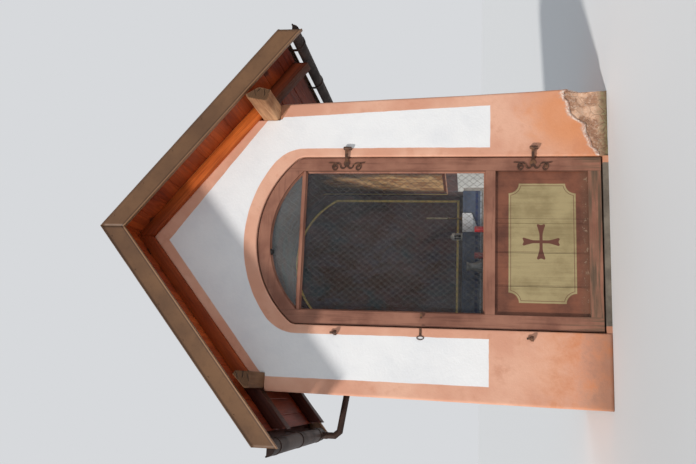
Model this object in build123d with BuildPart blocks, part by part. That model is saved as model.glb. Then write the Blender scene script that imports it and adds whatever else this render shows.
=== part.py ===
from build123d import *
from math import atan2, cos, degrees, radians, tan
import os

# Wayside chapel: a one-bay masonry niche with a glazed door and a boarded gable roof.
# Millimetres. X runs to the right as one faces the door, +Y into the chapel, Z up from the ground.
# The origin is the middle of the body's footprint.

# Body
body_depth = 1050
base_left = 905          # from the door's middle to the wall's outer face, at the ground
base_right = 896
batter_left = 0.015      # how far each side leans in for each unit of height
batter_right = 0.036
niche_half = 460
front_thickness = 220
rear_thickness = 250
floor_top = 30
wall_over_spring = 167   # from the springing up to the seat of the wall plates

# Doorway: a rebate that takes the leaf, with the smaller niche arch behind it
spring = 1740            # height at which the arches start
niche_arch_height = 230
haunch_radius = 41       # the small radius where the niche arch leaves its jambs
rebate_width = 40
rebate_depth = 60
vault_thickness = 100
eaves_wall = 100         # thin wall behind each wall plate, up to the boards

# Roof
roof_pitch = 39.5
plate_heel = 20          # height of the left plate's outer side, up to the rafter
eave_half = 1169
front_overhang = 315
rear_overhang = 170
sheet_thickness = 5
deck_thickness = 24      # upper boards, which carry the sheet
batten_depth = 28        # air gap between the upper boards and the ones that show from below
batten_width = 50
batten_count = 4
board_thickness = 25
rafter_depth = 70
rafter_width = 100
rafter_reach = 45        # how far the rafters stand out in front of the gable's face
deck_setback = 19        # from the covering's edge back to the upper boards' edge
board_setback = 77       # the same for the boards that show from below
tail_setback = 10        # from those boards' edge back to the rafters' plumb cut
verge_thickness = 25
verge_height = 142       # measured plumb
drip_height = 8
drip_width = 5
seam_height = 20
seam_width = 5
seam_spacing = 390
seam_count = 4
cap_half = 115
cap_gap = 15             # from the ridge cap's edge to the seams' heads
cap_thickness = 4
eave_apron = 30          # the sheet's turned-down edge, from its top down
plate_width = 88
plate_inset = 10
plate_front_end = 400    # how far the plates' upper edges reach in front of the wall
plate_rear_end = 140
plate_undercut = 80      # how much further back their lower edges end

# Gutters and downpipes
gutter_radius = 45
gutter_wall = 3
gutter_drop = 75         # from the covering's edge down to the gutter's rim
gutter_end_gap = 5       # from each verge to the gutter's end
bead_radius = 5
outlet_radius = 25
outlet_length = 30
bracket_width = 25
bracket_thickness = 4
bracket_count = 3
bracket_end = 150        # from the gutter's ends to the outer brackets
seat_gap = 0.3
pipe_radius = 22
pipe_stand_off = 30      # clear space between pipe and rear wall
pipe_inset = 90          # from the wall foot's corner in to the pipe's axis
pipe_top_run = 80
neck_drop = 55
pipe_foot = 190
shoe_length = 85
shoe_drop = 60
shoe_mouth = 50
pipe_bend = 30           # how far before and after a corner its short mitred piece starts
clip_heights = (420, 1330)
clip_height = 22
clip_thickness = 4
clip_stem = 12
clip_sides = 16

# Door leaf
leaf_gap = 8
leaf_setback = 10        # from the wall face to the leaf's front
leaf_thickness = 45
sill_gap = 10
stile_width = 78
light_lift = 10          # from the springing up to where the upper pane starts
glass_arch_height = 180
transom_height = 15
transom_setback = 5
transom_thickness = 30
mid_rail_bottom = 624
mid_rail_height = 56
bottom_rail_height = 70
panel_thickness = 20
panel_setback = 18
panel_groove = 3
panel_groove_depth = 2
panel_joints = (-250, -60, 110)
glass_thickness = 4
glass_setback = 24

# Door ironwork
hinge_offset = 45        # from the doorway's arris out to the pin
hinge_stand_off = 17     # the pin's distance in front of the wall
hinge_heights = (415, 1491)
pin_radius = 6
pin_clearance = 0.08
eye_wall = 4
eye_height = 32
pin_dome = 3
block_height = 12
block_half = 9
strap_thickness = 6
arm_height = 16
hub_half_height = 17
hub_half_width = 20
hub_setback = 33         # from the leaf's edge to the hub's middle
scroll_band = 6
scroll_width = 38        # from the hub's middle to the scroll's far side
scroll_height = 97       # from the hub's middle to the scroll's crown
scroll_eye = 5
spur_width = 3
spur_height = 108
spare_offset = 41        # the same for the pintles left from an outer leaf
spare_feet = (417, 1506)
spare_half = 14
spare_collar = 10
spare_pin = 14
latch_height = 1032
latch_offset = 55
latch_ring_half_width = 12.5
latch_ring_half_height = 21
latch_wire = 5
latch_bar_height = 13
latch_depth = 8
pull_setback = 61        # from the leaf's edge to the pull
pull_height = 1030
pull_length = 30
pull_width = 12
pull_thickness = 8
pull_neck_radius = 5
pull_neck_length = 10
catch_x = -76
catch_radius = 18
catch_thickness = 8

# Altar and what stands on it
altar_depth = 440
altar_top = 630
step_depth = 240
step_height = 180
cloth_thickness = 3
cloth_lift = 60          # from the altar's top up to the hem
cloth_margin = 20        # from the niche's side walls to the cloth
votive_radius = 20
votive_height = 108
votive_spots = ((163, 90), (-4, 95))     # across, and back from the altar's front
lantern_radius = 26
lantern_height = 80
lantern_spot = (153, 90)                 # across, and back from the step's front
candle_radius = 5
candle_height = 147
stick_height = 100
stick_foot = 32
foot_thickness = 4
drip_radius = 12
drip_pan_height = 5
candle_spot = (281, 120)
vase_profile = (24, 0), (40, 60), (22, 118), (32, 155)      # radius and height, from the foot up
vase_sides = 20
vase_spot = (-72, 105)

# Plaster lost from the right-hand pier
recess_depth = 16
recess_line = (526, 56), (705, 140), (723, 156)    # across and up, on the front
recess_start = 47        # height at the doorway's arris
recess_corner = 222      # height at the outer corner
recess_side = (-430, 150), (-330, 60)              # back and up, on the side

# Worked out from the above
front = -body_depth / 2
rear = body_depth / 2
niche_rear = rear - rear_thickness
door_half = niche_half + rebate_width
plate_seat = spring + wall_over_spring
slope = tan(radians(roof_pitch))
plumb = 1 / cos(radians(roof_pitch))
heel_x = base_left - batter_left * plate_seat - plate_inset
rafter_under = plate_seat + plate_heel + slope * heel_x
board_under = rafter_under + rafter_depth * plumb
board_line = board_under + board_thickness * plumb
deck_under = board_line + batten_depth * plumb
deck_line = deck_under + deck_thickness * plumb
ridge_top = deck_line + sheet_thickness * plumb
board_edge = eave_half - board_setback
rafter_tail = board_edge - tail_setback
roof_front = front - front_overhang
roof_rear = rear + rear_overhang
gutter_centre = eave_half
gutter_rim = ridge_top - slope * eave_half - gutter_drop
pipe_y = rear + pipe_stand_off + pipe_radius
leaf_front = front + leaf_setback
leaf_half = door_half - leaf_gap
leaf_bottom = floor_top + sill_gap
glass_half = leaf_half - stile_width
glass_arch_spring = spring + light_lift
mid_rail_top = mid_rail_bottom + mid_rail_height
bottom_rail_top = leaf_bottom + bottom_rail_height
hinge_x = door_half + hinge_offset
hub_x = leaf_half - hub_setback
pin_y = front - hinge_stand_off
eye_radius = pin_radius + pin_clearance + eye_wall
altar_front = niche_rear - altar_depth
step_front = niche_rear - step_depth
step_top = altar_top + step_height
stand = step_top + cloth_thickness + 2 * seat_gap


def facade(y):
    """Drawing plane that faces the viewer, y back from the origin."""
    return Plane(origin=(0, y, 0), x_dir=(1, 0, 0), z_dir=(0, -1, 0))


def outer_face(side, z):
    """Signed distance of a side wall's battered face from the middle, at height z."""
    if side < 0:
        return batter_left * z - base_left
    return base_right - batter_right * z


def on_slope(line, x):
    """Height at x of a roof line that has the height line at the ridge."""
    return line - slope * abs(x)


def arch_face(grow):
    """Three-centred arched face above the springing, the niche's outline offset outward by grow."""
    inner = niche_half - haunch_radius
    crown = (inner**2 + niche_arch_height**2 - haunch_radius**2) / (2 * (niche_arch_height - haunch_radius))
    drop = crown - niche_arch_height
    lean = degrees(atan2(drop, inner))
    haunch = haunch_radius + grow
    half = niche_half + grow
    with BuildLine() as outline:
        CenterArc((inner, spring), haunch, 0, lean)
        CenterArc((0, spring - drop), crown + grow, lean, 180 - 2 * lean)
        CenterArc((-inner, spring), haunch, 180 - lean, lean)
        Line((-half, spring), (half, spring))
    make_face(outline.edges())


def save(name, label):
    """Names a finished piece and writes its file."""
    name.part.label = label
    export_step(name.part, f"parts/{label}.step")


os.makedirs("parts", exist_ok=True)

# Front piers, each with the rebate that takes the leaf
for side, word in ((-1, "left"), (1, "right")):
    with BuildPart() as pier:
        with BuildSketch(facade(front)):
            with BuildLine():
                Polyline(
                    (side * niche_half, 0),
                    (outer_face(side, 0), 0),
                    (outer_face(side, spring), spring),
                    (side * niche_half, spring),
                    close=True,
                )
            make_face()
        extrude(amount=-front_thickness)
        with BuildSketch(facade(front)):
            with BuildLine():
                Polyline(
                    (side * niche_half, floor_top),
                    (side * door_half, floor_top),
                    (side * door_half, spring),
                    (side * niche_half, spring),
                    close=True,
                )
            make_face()
        extrude(amount=-rebate_depth, mode=Mode.SUBTRACT)
        if side > 0:
            # Rubble laid bare where the plaster is lost, on the front and round the corner
            with BuildSketch(facade(front)):
                with BuildLine():
                    Polyline(
                        (door_half, 0),
                        (door_half, recess_start),
                        *recess_line,
                        (base_right, recess_corner),
                        (base_right, 0),
                        close=True,
                    )
                make_face()
            extrude(amount=-recess_depth, mode=Mode.SUBTRACT)
            with BuildSketch(Plane.YZ.offset(base_right - recess_depth)):
                with BuildLine():
                    Polyline(
                        (front, 0),
                        (front, recess_corner),
                        *recess_side,
                        (front + front_thickness, 0),
                        close=True,
                    )
                make_face()
            extrude(amount=recess_depth, mode=Mode.SUBTRACT)
    save(pier, f"front_pier_{word}")


def plate_outer(side):
    """Outer side of a wall plate."""
    return outer_face(side, plate_seat) - side * plate_inset


def plate_inner(side):
    """Inner side of a wall plate."""
    return plate_outer(side) - side * plate_width


def gable_outline():
    """Masonry of a gable, from the springing up to the underside of its rafters."""
    with BuildLine() as outline:
        Polyline(
            (outer_face(-1, spring), spring),
            (outer_face(-1, plate_seat), plate_seat),
            (plate_inner(-1), plate_seat),
            (plate_inner(-1), on_slope(rafter_under, plate_inner(-1))),
            (0, rafter_under),
            (plate_inner(1), on_slope(rafter_under, plate_inner(1))),
            (plate_inner(1), plate_seat),
            (outer_face(1, plate_seat), plate_seat),
            (outer_face(1, spring), spring),
            close=True,
        )
    make_face(outline.edges())


# Front gable with the arched head of the doorway
with BuildPart() as front_gable:
    with BuildSketch(facade(front)):
        gable_outline()
    extrude(amount=-front_thickness)
    with BuildSketch(facade(front)):
        arch_face(0)
    extrude(amount=-front_thickness, mode=Mode.SUBTRACT)
    with BuildSketch(facade(front)):
        arch_face(rebate_width)
    extrude(amount=-rebate_depth, mode=Mode.SUBTRACT)
save(front_gable, "front_gable")

# Side walls of the niche
for side, word in ((-1, "left"), (1, "right")):
    with BuildPart() as side_wall:
        with BuildSketch(facade(front + front_thickness)):
            with BuildLine():
                Polyline(
                    (side * niche_half, 0),
                    (outer_face(side, 0), 0),
                    (outer_face(side, spring), spring),
                    (side * niche_half, spring),
                    close=True,
                )
            make_face()
        extrude(amount=-(niche_rear - front - front_thickness))
    save(side_wall, f"side_wall_{word}")

# Vault over the niche, with the thin walls behind the wall plates
with BuildPart() as niche_vault:
    with BuildSketch(facade(front + front_thickness)):
        with BuildLine():
            Polyline(
                (outer_face(-1, spring), spring),
                (outer_face(-1, plate_seat), plate_seat),
                (outer_face(1, plate_seat), plate_seat),
                (outer_face(1, spring), spring),
                close=True,
            )
        make_face()
        for side in (-1, 1):
            inner = plate_inner(side) - side * eaves_wall
            with BuildLine():
                Polyline(
                    (inner, plate_seat),
                    (plate_inner(side), plate_seat),
                    (plate_inner(side), on_slope(board_under, plate_inner(side))),
                    (inner, on_slope(board_under, inner)),
                    close=True,
                )
            make_face()
        arch_face(vault_thickness)
        with BuildSketch(mode=Mode.PRIVATE) as intrados:
            arch_face(0)
        add(intrados.sketch, mode=Mode.SUBTRACT)
    extrude(amount=-(niche_rear - front - front_thickness))
save(niche_vault, "niche_vault")

# Rear wall, in one piece with its gable
with BuildPart() as rear_wall:
    with BuildSketch(facade(niche_rear)):
        with BuildLine():
            Polyline(
                (outer_face(-1, 0), 0),
                (outer_face(-1, spring), spring),
                (outer_face(1, spring), spring),
                (outer_face(1, 0), 0),
                close=True,
            )
        make_face()
        gable_outline()
    extrude(amount=-rear_thickness)
save(rear_wall, "rear_wall")

# Floor, which is also the door's threshold
with BuildPart() as floor_slab:
    with BuildSketch(facade(front)):
        with BuildLine():
            Polyline(
                (-niche_half, 0),
                (niche_half, 0),
                (niche_half, floor_top),
                (-niche_half, floor_top),
                close=True,
            )
        make_face()
    extrude(amount=-(niche_rear - front))
save(floor_slab, "floor_slab")

# Altar: a masonry block with a raised step along the rear wall
with BuildPart() as altar:
    with BuildSketch(Plane.YZ.offset(-niche_half)):
        with BuildLine():
            Polyline(
                (altar_front, floor_top),
                (niche_rear, floor_top),
                (niche_rear, step_top),
                (step_front, step_top),
                (step_front, altar_top),
                (altar_front, altar_top),
                close=True,
            )
        make_face()
    extrude(amount=2 * niche_half)
save(altar, "altar")

# Cloth over the step, hanging down its front
with BuildPart() as altar_cloth:
    cloth_half = niche_half - cloth_margin
    cloth_hem = altar_top + cloth_lift
    with BuildSketch(Plane.YZ.offset(-cloth_half)):
        inside = step_front - seat_gap
        with BuildLine():
            Polyline(
                (inside, cloth_hem),
                (inside, step_top + seat_gap),
                (niche_rear - seat_gap, step_top + seat_gap),
                (niche_rear - seat_gap, step_top + seat_gap + cloth_thickness),
                (inside - cloth_thickness, step_top + seat_gap + cloth_thickness),
                (inside - cloth_thickness, cloth_hem),
                close=True,
            )
        make_face()
    extrude(amount=2 * cloth_half)
save(altar_cloth, "altar_cloth")

# Wall plates: their ends show in front of the wall, and their tops are bevelled to the rafters
with BuildPart() as wall_plates:
    for side in (-1, 1):
        with BuildSketch(facade(front - plate_front_end)):
            with BuildLine():
                Polyline(
                    (plate_inner(side), plate_seat),
                    (plate_outer(side), plate_seat),
                    (plate_outer(side), on_slope(rafter_under, plate_outer(side))),
                    (plate_inner(side), on_slope(rafter_under, plate_inner(side))),
                    close=True,
                )
            make_face()
        extrude(amount=-(plate_front_end + body_depth + plate_rear_end))
    plate_head = front - plate_front_end
    with BuildSketch(Plane.YZ.offset(-base_left)):
        with BuildLine():
            Polyline(
                (plate_head, plate_seat),
                (plate_head + plate_undercut, plate_seat),
                (plate_head, on_slope(rafter_under, plate_inner(1))),
                close=True,
            )
        make_face()
    extrude(amount=base_left + base_right, mode=Mode.SUBTRACT)
save(wall_plates, "wall_plates")


def slope_strip(side, low, high, start, end):
    """Strip of the roof's section between two roof lines, from start to end out from the middle."""
    with BuildLine() as outline:
        Polyline(
            (side * start, on_slope(low, start)),
            (side * end, on_slope(low, end)),
            (side * end, on_slope(high, end)),
            (side * start, on_slope(high, start)),
            close=True,
        )
    make_face(outline.edges())


# Rafters: one couple over each gable, standing out a little, joined at the ridge
for place, word in ((front - rafter_reach, "front"), (rear + rafter_reach - rafter_width, "rear")):
    with BuildPart() as rafters:
        with BuildSketch(facade(place)):
            for side in (-1, 1):
                slope_strip(side, rafter_under, board_under, 0, rafter_tail)
        extrude(amount=-rafter_width)
    save(rafters, f"{word}_rafters")

cover_front = roof_front + verge_thickness
cover_length = roof_rear - verge_thickness - cover_front

for side, word in ((-1, "left"), (1, "right")):
    # Boards that show from below, battens, and the upper boards under the sheet
    with BuildPart() as roof_boards:
        with BuildSketch(facade(cover_front)):
            slope_strip(side, board_under, board_line, 0, board_edge)
            slope_strip(side, deck_under, deck_line, 0, eave_half - deck_setback)
        extrude(amount=-cover_length)
        batten_step = (cover_length - batten_width) / (batten_count - 1)
        for index in range(batten_count):
            with BuildSketch(facade(cover_front + index * batten_step)):
                slope_strip(side, board_line, deck_under, 0, board_edge)
            extrude(amount=-batten_width)
    save(roof_boards, f"roof_boards_{word}")

    # Sheet covering with its standing seams
    with BuildPart() as roof_sheet:
        with BuildSketch(facade(cover_front)):
            slope_strip(side, deck_line, ridge_top, 0, eave_half)
            with BuildLine():
                Polyline(
                    (side * eave_half, on_slope(ridge_top, eave_half)),
                    (side * eave_half, on_slope(ridge_top, eave_half) - eave_apron),
                    (side * (eave_half - sheet_thickness), on_slope(ridge_top, eave_half) - eave_apron),
                    (side * (eave_half - sheet_thickness), on_slope(ridge_top, eave_half - sheet_thickness)),
                    close=True,
                )
            make_face()
        extrude(amount=-cover_length)
        seam_first = cover_front + (cover_length - (seam_count - 1) * seam_spacing - seam_width) / 2
        for index in range(seam_count):
            with BuildSketch(facade(seam_first + index * seam_spacing)):
                slope_strip(side, ridge_top, ridge_top + seam_height * plumb, cap_half + cap_gap, eave_half)
            extrude(amount=-seam_width)
    save(roof_sheet, f"roof_sheet_{word}")

    # Verge flashings with a drip along the lower edge
    for face, way, end in ((roof_front, -1, "front"), (roof_rear, 1, "rear")):
        with BuildPart() as verge:
            with BuildSketch(facade(face)):
                slope_strip(side, ridge_top - verge_height, ridge_top, 0, eave_half)
            extrude(amount=way * verge_thickness)
            drip_foot = ridge_top - verge_height
            with BuildSketch(facade(face)):
                slope_strip(side, drip_foot, drip_foot + drip_height, 0, eave_half)
            extrude(amount=-way * drip_width)
        save(verge, f"{end}_verge_{word}")

# Ridge cap
with BuildPart() as ridge_cap:
    with BuildSketch(facade(cover_front)):
        for side in (-1, 1):
            slope_strip(side, ridge_top, ridge_top + cap_thickness * plumb, 0, cap_half)
    extrude(amount=-cover_length)
save(ridge_cap, "ridge_cap")

gutter_start = cover_front + gutter_end_gap
gutter_length = cover_length - 2 * gutter_end_gap


def half_ring(side, outer, inner):
    """Lower half of a ring about the gutter's middle."""
    with Locations((side * gutter_centre, gutter_rim)):
        Circle(outer)
        if inner:
            Circle(inner, mode=Mode.SUBTRACT)
        Rectangle(2 * outer, outer, align=(Align.CENTER, Align.MIN), mode=Mode.SUBTRACT)


for side, word in ((-1, "left"), (1, "right")):
    # Half-round gutter with a beaded rim, end caps and an outlet near its rear end
    with BuildPart() as gutter:
        with BuildSketch(facade(gutter_start)):
            half_ring(side, gutter_radius, gutter_radius - gutter_wall)
            with Locations((side * (gutter_centre + gutter_radius), gutter_rim)):
                Circle(bead_radius)
        extrude(amount=-gutter_length)
        for cap in (gutter_start, gutter_start + gutter_length - gutter_wall):
            with BuildSketch(facade(cap)):
                half_ring(side, gutter_radius, 0)
            extrude(amount=-gutter_wall)
        stub_top = gutter_rim - gutter_radius / 2
        stub_foot = gutter_rim - gutter_radius - outlet_length
        with BuildSketch(Plane(origin=(side * gutter_centre, pipe_y, stub_foot))):
            Circle(outlet_radius)
        extrude(amount=stub_top - stub_foot)
        with BuildSketch(Plane(origin=(side * gutter_centre, pipe_y, stub_foot))):
            Circle(outlet_radius - gutter_wall)
        extrude(amount=gutter_rim - stub_foot, mode=Mode.SUBTRACT)
        with BuildSketch(facade(gutter_start + gutter_wall)):
            with Locations((side * gutter_centre, gutter_rim)):
                Circle(gutter_radius - gutter_wall)
        extrude(amount=-(gutter_length - 2 * gutter_wall), mode=Mode.SUBTRACT)
    save(gutter, f"gutter_{word}")

# Gutter brackets: a strap under the gutter and an arm up to the upper boards
with BuildPart() as gutter_brackets:
    inner_radius = gutter_radius + seat_gap
    outer_radius = inner_radius + bracket_thickness
    bracket_step = (gutter_length - 2 * bracket_end) / (bracket_count - 1)
    for side in (-1, 1):
        for index in range(bracket_count):
            place = gutter_start + bracket_end + index * bracket_step - bracket_width / 2
            arm = gutter_centre - outer_radius
            with BuildSketch(facade(place)):
                half_ring(side, outer_radius, inner_radius)
                with BuildLine():
                    Polyline(
                        (side * arm, gutter_rim),
                        (side * (arm + bracket_thickness), gutter_rim),
                        (side * (arm + bracket_thickness), on_slope(deck_under, arm + bracket_thickness)),
                        (side * arm, on_slope(deck_under, arm)),
                        close=True,
                    )
                make_face()
                with Locations((side * (gutter_centre + gutter_radius), gutter_rim)):
                    Circle(bead_radius + seat_gap, mode=Mode.SUBTRACT)
            extrude(amount=-bracket_width)
save(gutter_brackets, "gutter_brackets")



def pipe_axis(side):
    """Distance of a downpipe's axis from the middle."""
    return outer_face(side, 0) - side * pipe_inset


def mitred(corners):
    """Path whose inner corners are each cut off by a short straight piece."""
    path = [corners[0]]
    for before, corner, after in zip(corners, corners[1:], corners[2:]):
        path.append(corner + (before - corner).normalized() * pipe_bend)
        path.append(corner + (after - corner).normalized() * pipe_bend)
    return path + [corners[-1]]


for side, word in ((-1, "left"), (1, "right")):
    # Downpipe: swan neck from the outlet in behind the rear wall, straight run and shoe
    neck_top = gutter_rim - gutter_radius - outlet_length
    neck_high = neck_top - pipe_top_run
    corners = [
        Vector(side * gutter_centre, pipe_y, neck_top),
        Vector(side * gutter_centre, pipe_y, neck_high),
        Vector(pipe_axis(side), pipe_y, neck_high - neck_drop),
        Vector(pipe_axis(side), pipe_y, pipe_foot),
        Vector(pipe_axis(side), pipe_y + shoe_length, pipe_foot - shoe_drop),
    ]
    with BuildPart() as downpipe:
        with BuildLine():
            Polyline(mitred(corners))
        with BuildSketch(Plane(origin=corners[0], z_dir=(0, 0, -1))):
            Circle(pipe_radius)
        sweep(transition=Transition.RIGHT)
        mouth = downpipe.faces().sort_by(Axis.Z)[0]
        with BuildSketch(Plane(mouth)):
            Circle(pipe_radius - gutter_wall)
        extrude(amount=-shoe_mouth, mode=Mode.SUBTRACT)
    save(downpipe, f"downpipe_{word}")

# Pipe clips: a ring about each pipe with a stem to the rear wall
with BuildPart() as pipe_clips:
    clip_inner = pipe_radius + seat_gap
    clip_outer = clip_inner + clip_thickness
    for side in (-1, 1):
        for height in clip_heights:
            with BuildSketch(Plane.XY.offset(height)):
                with Locations((pipe_axis(side), (rear + pipe_y) / 2)):
                    Rectangle(clip_stem, pipe_y - rear)
                with Locations((pipe_axis(side), pipe_y)):
                    RegularPolygon(clip_outer, clip_sides, major_radius=False)
                    RegularPolygon(clip_inner, clip_sides, major_radius=False, mode=Mode.SUBTRACT)
            extrude(amount=clip_height)
save(pipe_clips, "pipe_clips")

# Door leaf: stiles, rails, panel and two panes
for side, word in ((-1, "left"), (1, "right")):
    with BuildPart() as stile:
        with BuildSketch(facade(leaf_front)):
            with BuildLine():
                Polyline(
                    (side * glass_half, leaf_bottom),
                    (side * leaf_half, leaf_bottom),
                    (side * leaf_half, spring),
                    (side * glass_half, spring),
                    close=True,
                )
            make_face()
        extrude(amount=-leaf_thickness)
    save(stile, f"door_stile_{word}")


def level_bar(low, high, setback, thickness):
    """Plain bar of the leaf between its stiles."""
    with BuildSketch(facade(leaf_front + setback)) as outline:
        with BuildLine():
            Polyline(
                (-glass_half, low),
                (glass_half, low),
                (glass_half, high),
                (-glass_half, high),
                close=True,
            )
        make_face()
    extrude(outline.sketch, amount=-thickness)


def glass_arch():
    """Segmental arch of the upper pane, from right to left."""
    ThreePointArc(
        (glass_half, glass_arch_spring),
        (0, glass_arch_spring + glass_arch_height),
        (-glass_half, glass_arch_spring),
    )


with BuildPart() as door_arch_rail:
    with BuildSketch(facade(leaf_front)):
        arch_face(rebate_width - leaf_gap)
        with BuildSketch(mode=Mode.PRIVATE) as light:
            with BuildLine():
                glass_arch()
                Polyline(
                    (-glass_half, glass_arch_spring),
                    (-glass_half, spring),
                    (glass_half, spring),
                    (glass_half, glass_arch_spring),
                )
            make_face()
        add(light.sketch, mode=Mode.SUBTRACT)
    extrude(amount=-leaf_thickness)
save(door_arch_rail, "door_arch_rail")

with BuildPart() as door_mid_rail:
    level_bar(mid_rail_bottom, mid_rail_top, 0, leaf_thickness)
save(door_mid_rail, "door_mid_rail")

with BuildPart() as door_bottom_rail:
    level_bar(leaf_bottom, bottom_rail_top, 0, leaf_thickness)
save(door_bottom_rail, "door_bottom_rail")

with BuildPart() as door_transom_bar:
    level_bar(glass_arch_spring - transom_height, glass_arch_spring, transom_setback, transom_thickness)
save(door_transom_bar, "door_transom_bar")

with BuildPart() as door_panel:
    level_bar(bottom_rail_top, mid_rail_bottom, panel_setback, panel_thickness)
    with BuildSketch(facade(leaf_front + panel_setback)):
        for joint in panel_joints:
            with Locations((joint, (bottom_rail_top + mid_rail_bottom) / 2)):
                Rectangle(panel_groove, mid_rail_bottom - bottom_rail_top)
    extrude(amount=-panel_groove_depth, mode=Mode.SUBTRACT)
save(door_panel, "door_panel")

with BuildPart() as main_glass:
    level_bar(mid_rail_top, glass_arch_spring - transom_height, glass_setback, glass_thickness)
save(main_glass, "main_glass")

with BuildPart() as arch_glass:
    with BuildSketch(facade(leaf_front + glass_setback)):
        with BuildLine():
            glass_arch()
            Line((-glass_half, glass_arch_spring), (glass_half, glass_arch_spring))
        make_face()
    extrude(amount=-glass_thickness)
save(arch_glass, "arch_glass")


def scroll(height, way):
    """Forged scroll above (way 1) or below (way -1) a hinge's hub: one band that curls into an eye."""

    def spot(across, up):
        return hub_x - across * scroll_width, height + way * up * scroll_height

    with BuildLine() as band:
        neck = ThreePointArc(spot(0.45, 0.08), spot(0.82, 0.24), spot(0.5, 0.38))
        belly = TangentArc(spot(0.5, 0.38), spot(-0.03, 0.7), tangent=neck % 1)
        crown = TangentArc(belly @ 1, spot(0.97, 0.8), tangent=belly % 1)
        TangentArc(crown @ 1, spot(0.48, 0.63), tangent=crown % 1)
    trace(band.edges(), scroll_band)
    with BuildLine() as curl:
        ThreePointArc(spot(0.48, 0.63), spot(0.28, 0.68), spot(0.45, 0.76))
    trace(curl.edges(), scroll_band)
    with Locations(spot(0.5, 0.74)):
        Circle(scroll_eye)
    with BuildLine() as spur:
        Line(belly @ 1, (hub_x + scroll_eye, height + way * spur_height))
    trace(spur.edges(), spur_width)


hinge_plane = leaf_front - strap_thickness
arm_front = pin_y - strap_thickness / 2

with BuildPart() as hinge_straps:
    for height in hinge_heights:
        # Arm, cranked from the leaf's face out to the pin, with the eye at its end
        with BuildSketch(Plane.XY.offset(height - arm_height / 2)):
            with BuildLine():
                Polyline(
                    (hub_x, leaf_front),
                    (hub_x, hinge_plane),
                    (leaf_half - 3 * strap_thickness, hinge_plane),
                    (leaf_half - strap_thickness, arm_front),
                    (hinge_x, arm_front),
                    (hinge_x, arm_front + strap_thickness),
                    (leaf_half, arm_front + strap_thickness),
                    (leaf_half - 2 * strap_thickness, leaf_front),
                    close=True,
                )
            make_face()
        extrude(amount=arm_height)
        with BuildSketch(Plane(origin=(hinge_x, pin_y, height - eye_height / 2))):
            Circle(eye_radius)
        extrude(amount=eye_height)
        with BuildSketch(Plane(origin=(hinge_x, pin_y, height - eye_height / 2))):
            Circle(pin_radius + pin_clearance)
        extrude(amount=eye_height, mode=Mode.SUBTRACT)
        # Hub and the two scrolls
        with BuildSketch(facade(hinge_plane)):
            with Locations((hub_x, height)):
                Ellipse(hub_half_width, hub_half_height)
            for way in (-1, 1):
                scroll(height, way)
        extrude(amount=-strap_thickness)
save(hinge_straps, "hinge_straps")


def pintle(x, foot, half, pin_length):
    """Pin on a block that is let into the wall."""
    with BuildSketch(Plane(origin=(x, 0, foot))) as block:
        with Locations((0, (pin_y + front) / 2)):
            Rectangle(2 * half, front - pin_y)
        with Locations((0, pin_y)):
            Circle(half)
    extrude(block.sketch, amount=block_height)
    with BuildSketch(Plane(origin=(x, pin_y, foot + block_height))) as pin:
        Circle(pin_radius)
    extrude(pin.sketch, amount=pin_length)


with BuildPart() as wall_pintles:
    for height in hinge_heights:
        block_foot = height - eye_height / 2 - seat_gap - block_height
        pintle(hinge_x, block_foot, block_half, eye_height + seat_gap + pin_dome)
    for foot in spare_feet:
        pintle(-door_half - spare_offset, foot, spare_half, spare_collar + spare_pin)
        with Locations((-door_half - spare_offset, pin_y, foot + block_height)):
            Cone(spare_half, pin_radius, spare_collar, align=(Align.CENTER, Align.CENTER, Align.MIN))
save(wall_pintles, "wall_pintles")

# Latch: oval ring and flat bar on the wall, up to the leaf's edge
with BuildPart() as latch:
    latch_x = -door_half - latch_offset
    bar_start = latch_x + latch_ring_half_width - latch_wire / 2
    with BuildSketch(facade(front)):
        with Locations((latch_x, latch_height)):
            Ellipse(latch_ring_half_width, latch_ring_half_height)
            Ellipse(
                latch_ring_half_width - latch_wire,
                latch_ring_half_height - latch_wire,
                mode=Mode.SUBTRACT,
            )
        with BuildLine():
            Polyline(
                (bar_start, latch_height - latch_bar_height / 2),
                (-door_half, latch_height - latch_bar_height / 2),
                (-door_half, latch_height + latch_bar_height / 2),
                (bar_start, latch_height + latch_bar_height / 2),
                close=True,
            )
        make_face()
    extrude(amount=latch_depth)
save(latch, "latch")

# Pull on the left stile, and a half-round catch at the head of the upper pane
with BuildPart() as door_pull_and_catch:
    pull_x = pull_setback - leaf_half
    with BuildSketch(facade(leaf_front)):
        with Locations((pull_x, pull_height)):
            Circle(pull_neck_radius)
    extrude(amount=pull_neck_length)
    with BuildSketch(facade(leaf_front - pull_neck_length)):
        with Locations((pull_x, pull_height)):
            Rectangle(pull_length, pull_width)
    extrude(amount=pull_thickness)
    glass_radius = (glass_half**2 + glass_arch_height**2) / (2 * glass_arch_height)
    catch_drop = glass_radius - (glass_radius**2 - catch_x**2) ** 0.5
    with BuildSketch(facade(leaf_front + glass_setback)):
        with BuildLine():
            glass_arch()
            Line((-glass_half, glass_arch_spring), (glass_half, glass_arch_spring))
        make_face()
        with Locations((catch_x, glass_arch_spring + glass_arch_height - catch_drop)):
            Circle(catch_radius, mode=Mode.INTERSECT)
    extrude(amount=catch_thickness)
save(door_pull_and_catch, "door_pull_and_catch")

# What stands on the altar and on its step
with BuildPart() as votive_lights:
    for across, back in votive_spots:
        with BuildSketch(Plane(origin=(across, altar_front + back, altar_top))):
            Circle(votive_radius)
        extrude(amount=votive_height)
save(votive_lights, "votive_lights")

with BuildPart() as lantern:
    across, back = lantern_spot
    with BuildSketch(Plane(origin=(across, step_front + back, stand))):
        Circle(lantern_radius)
    extrude(amount=lantern_height)
save(lantern, "lantern")


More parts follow.
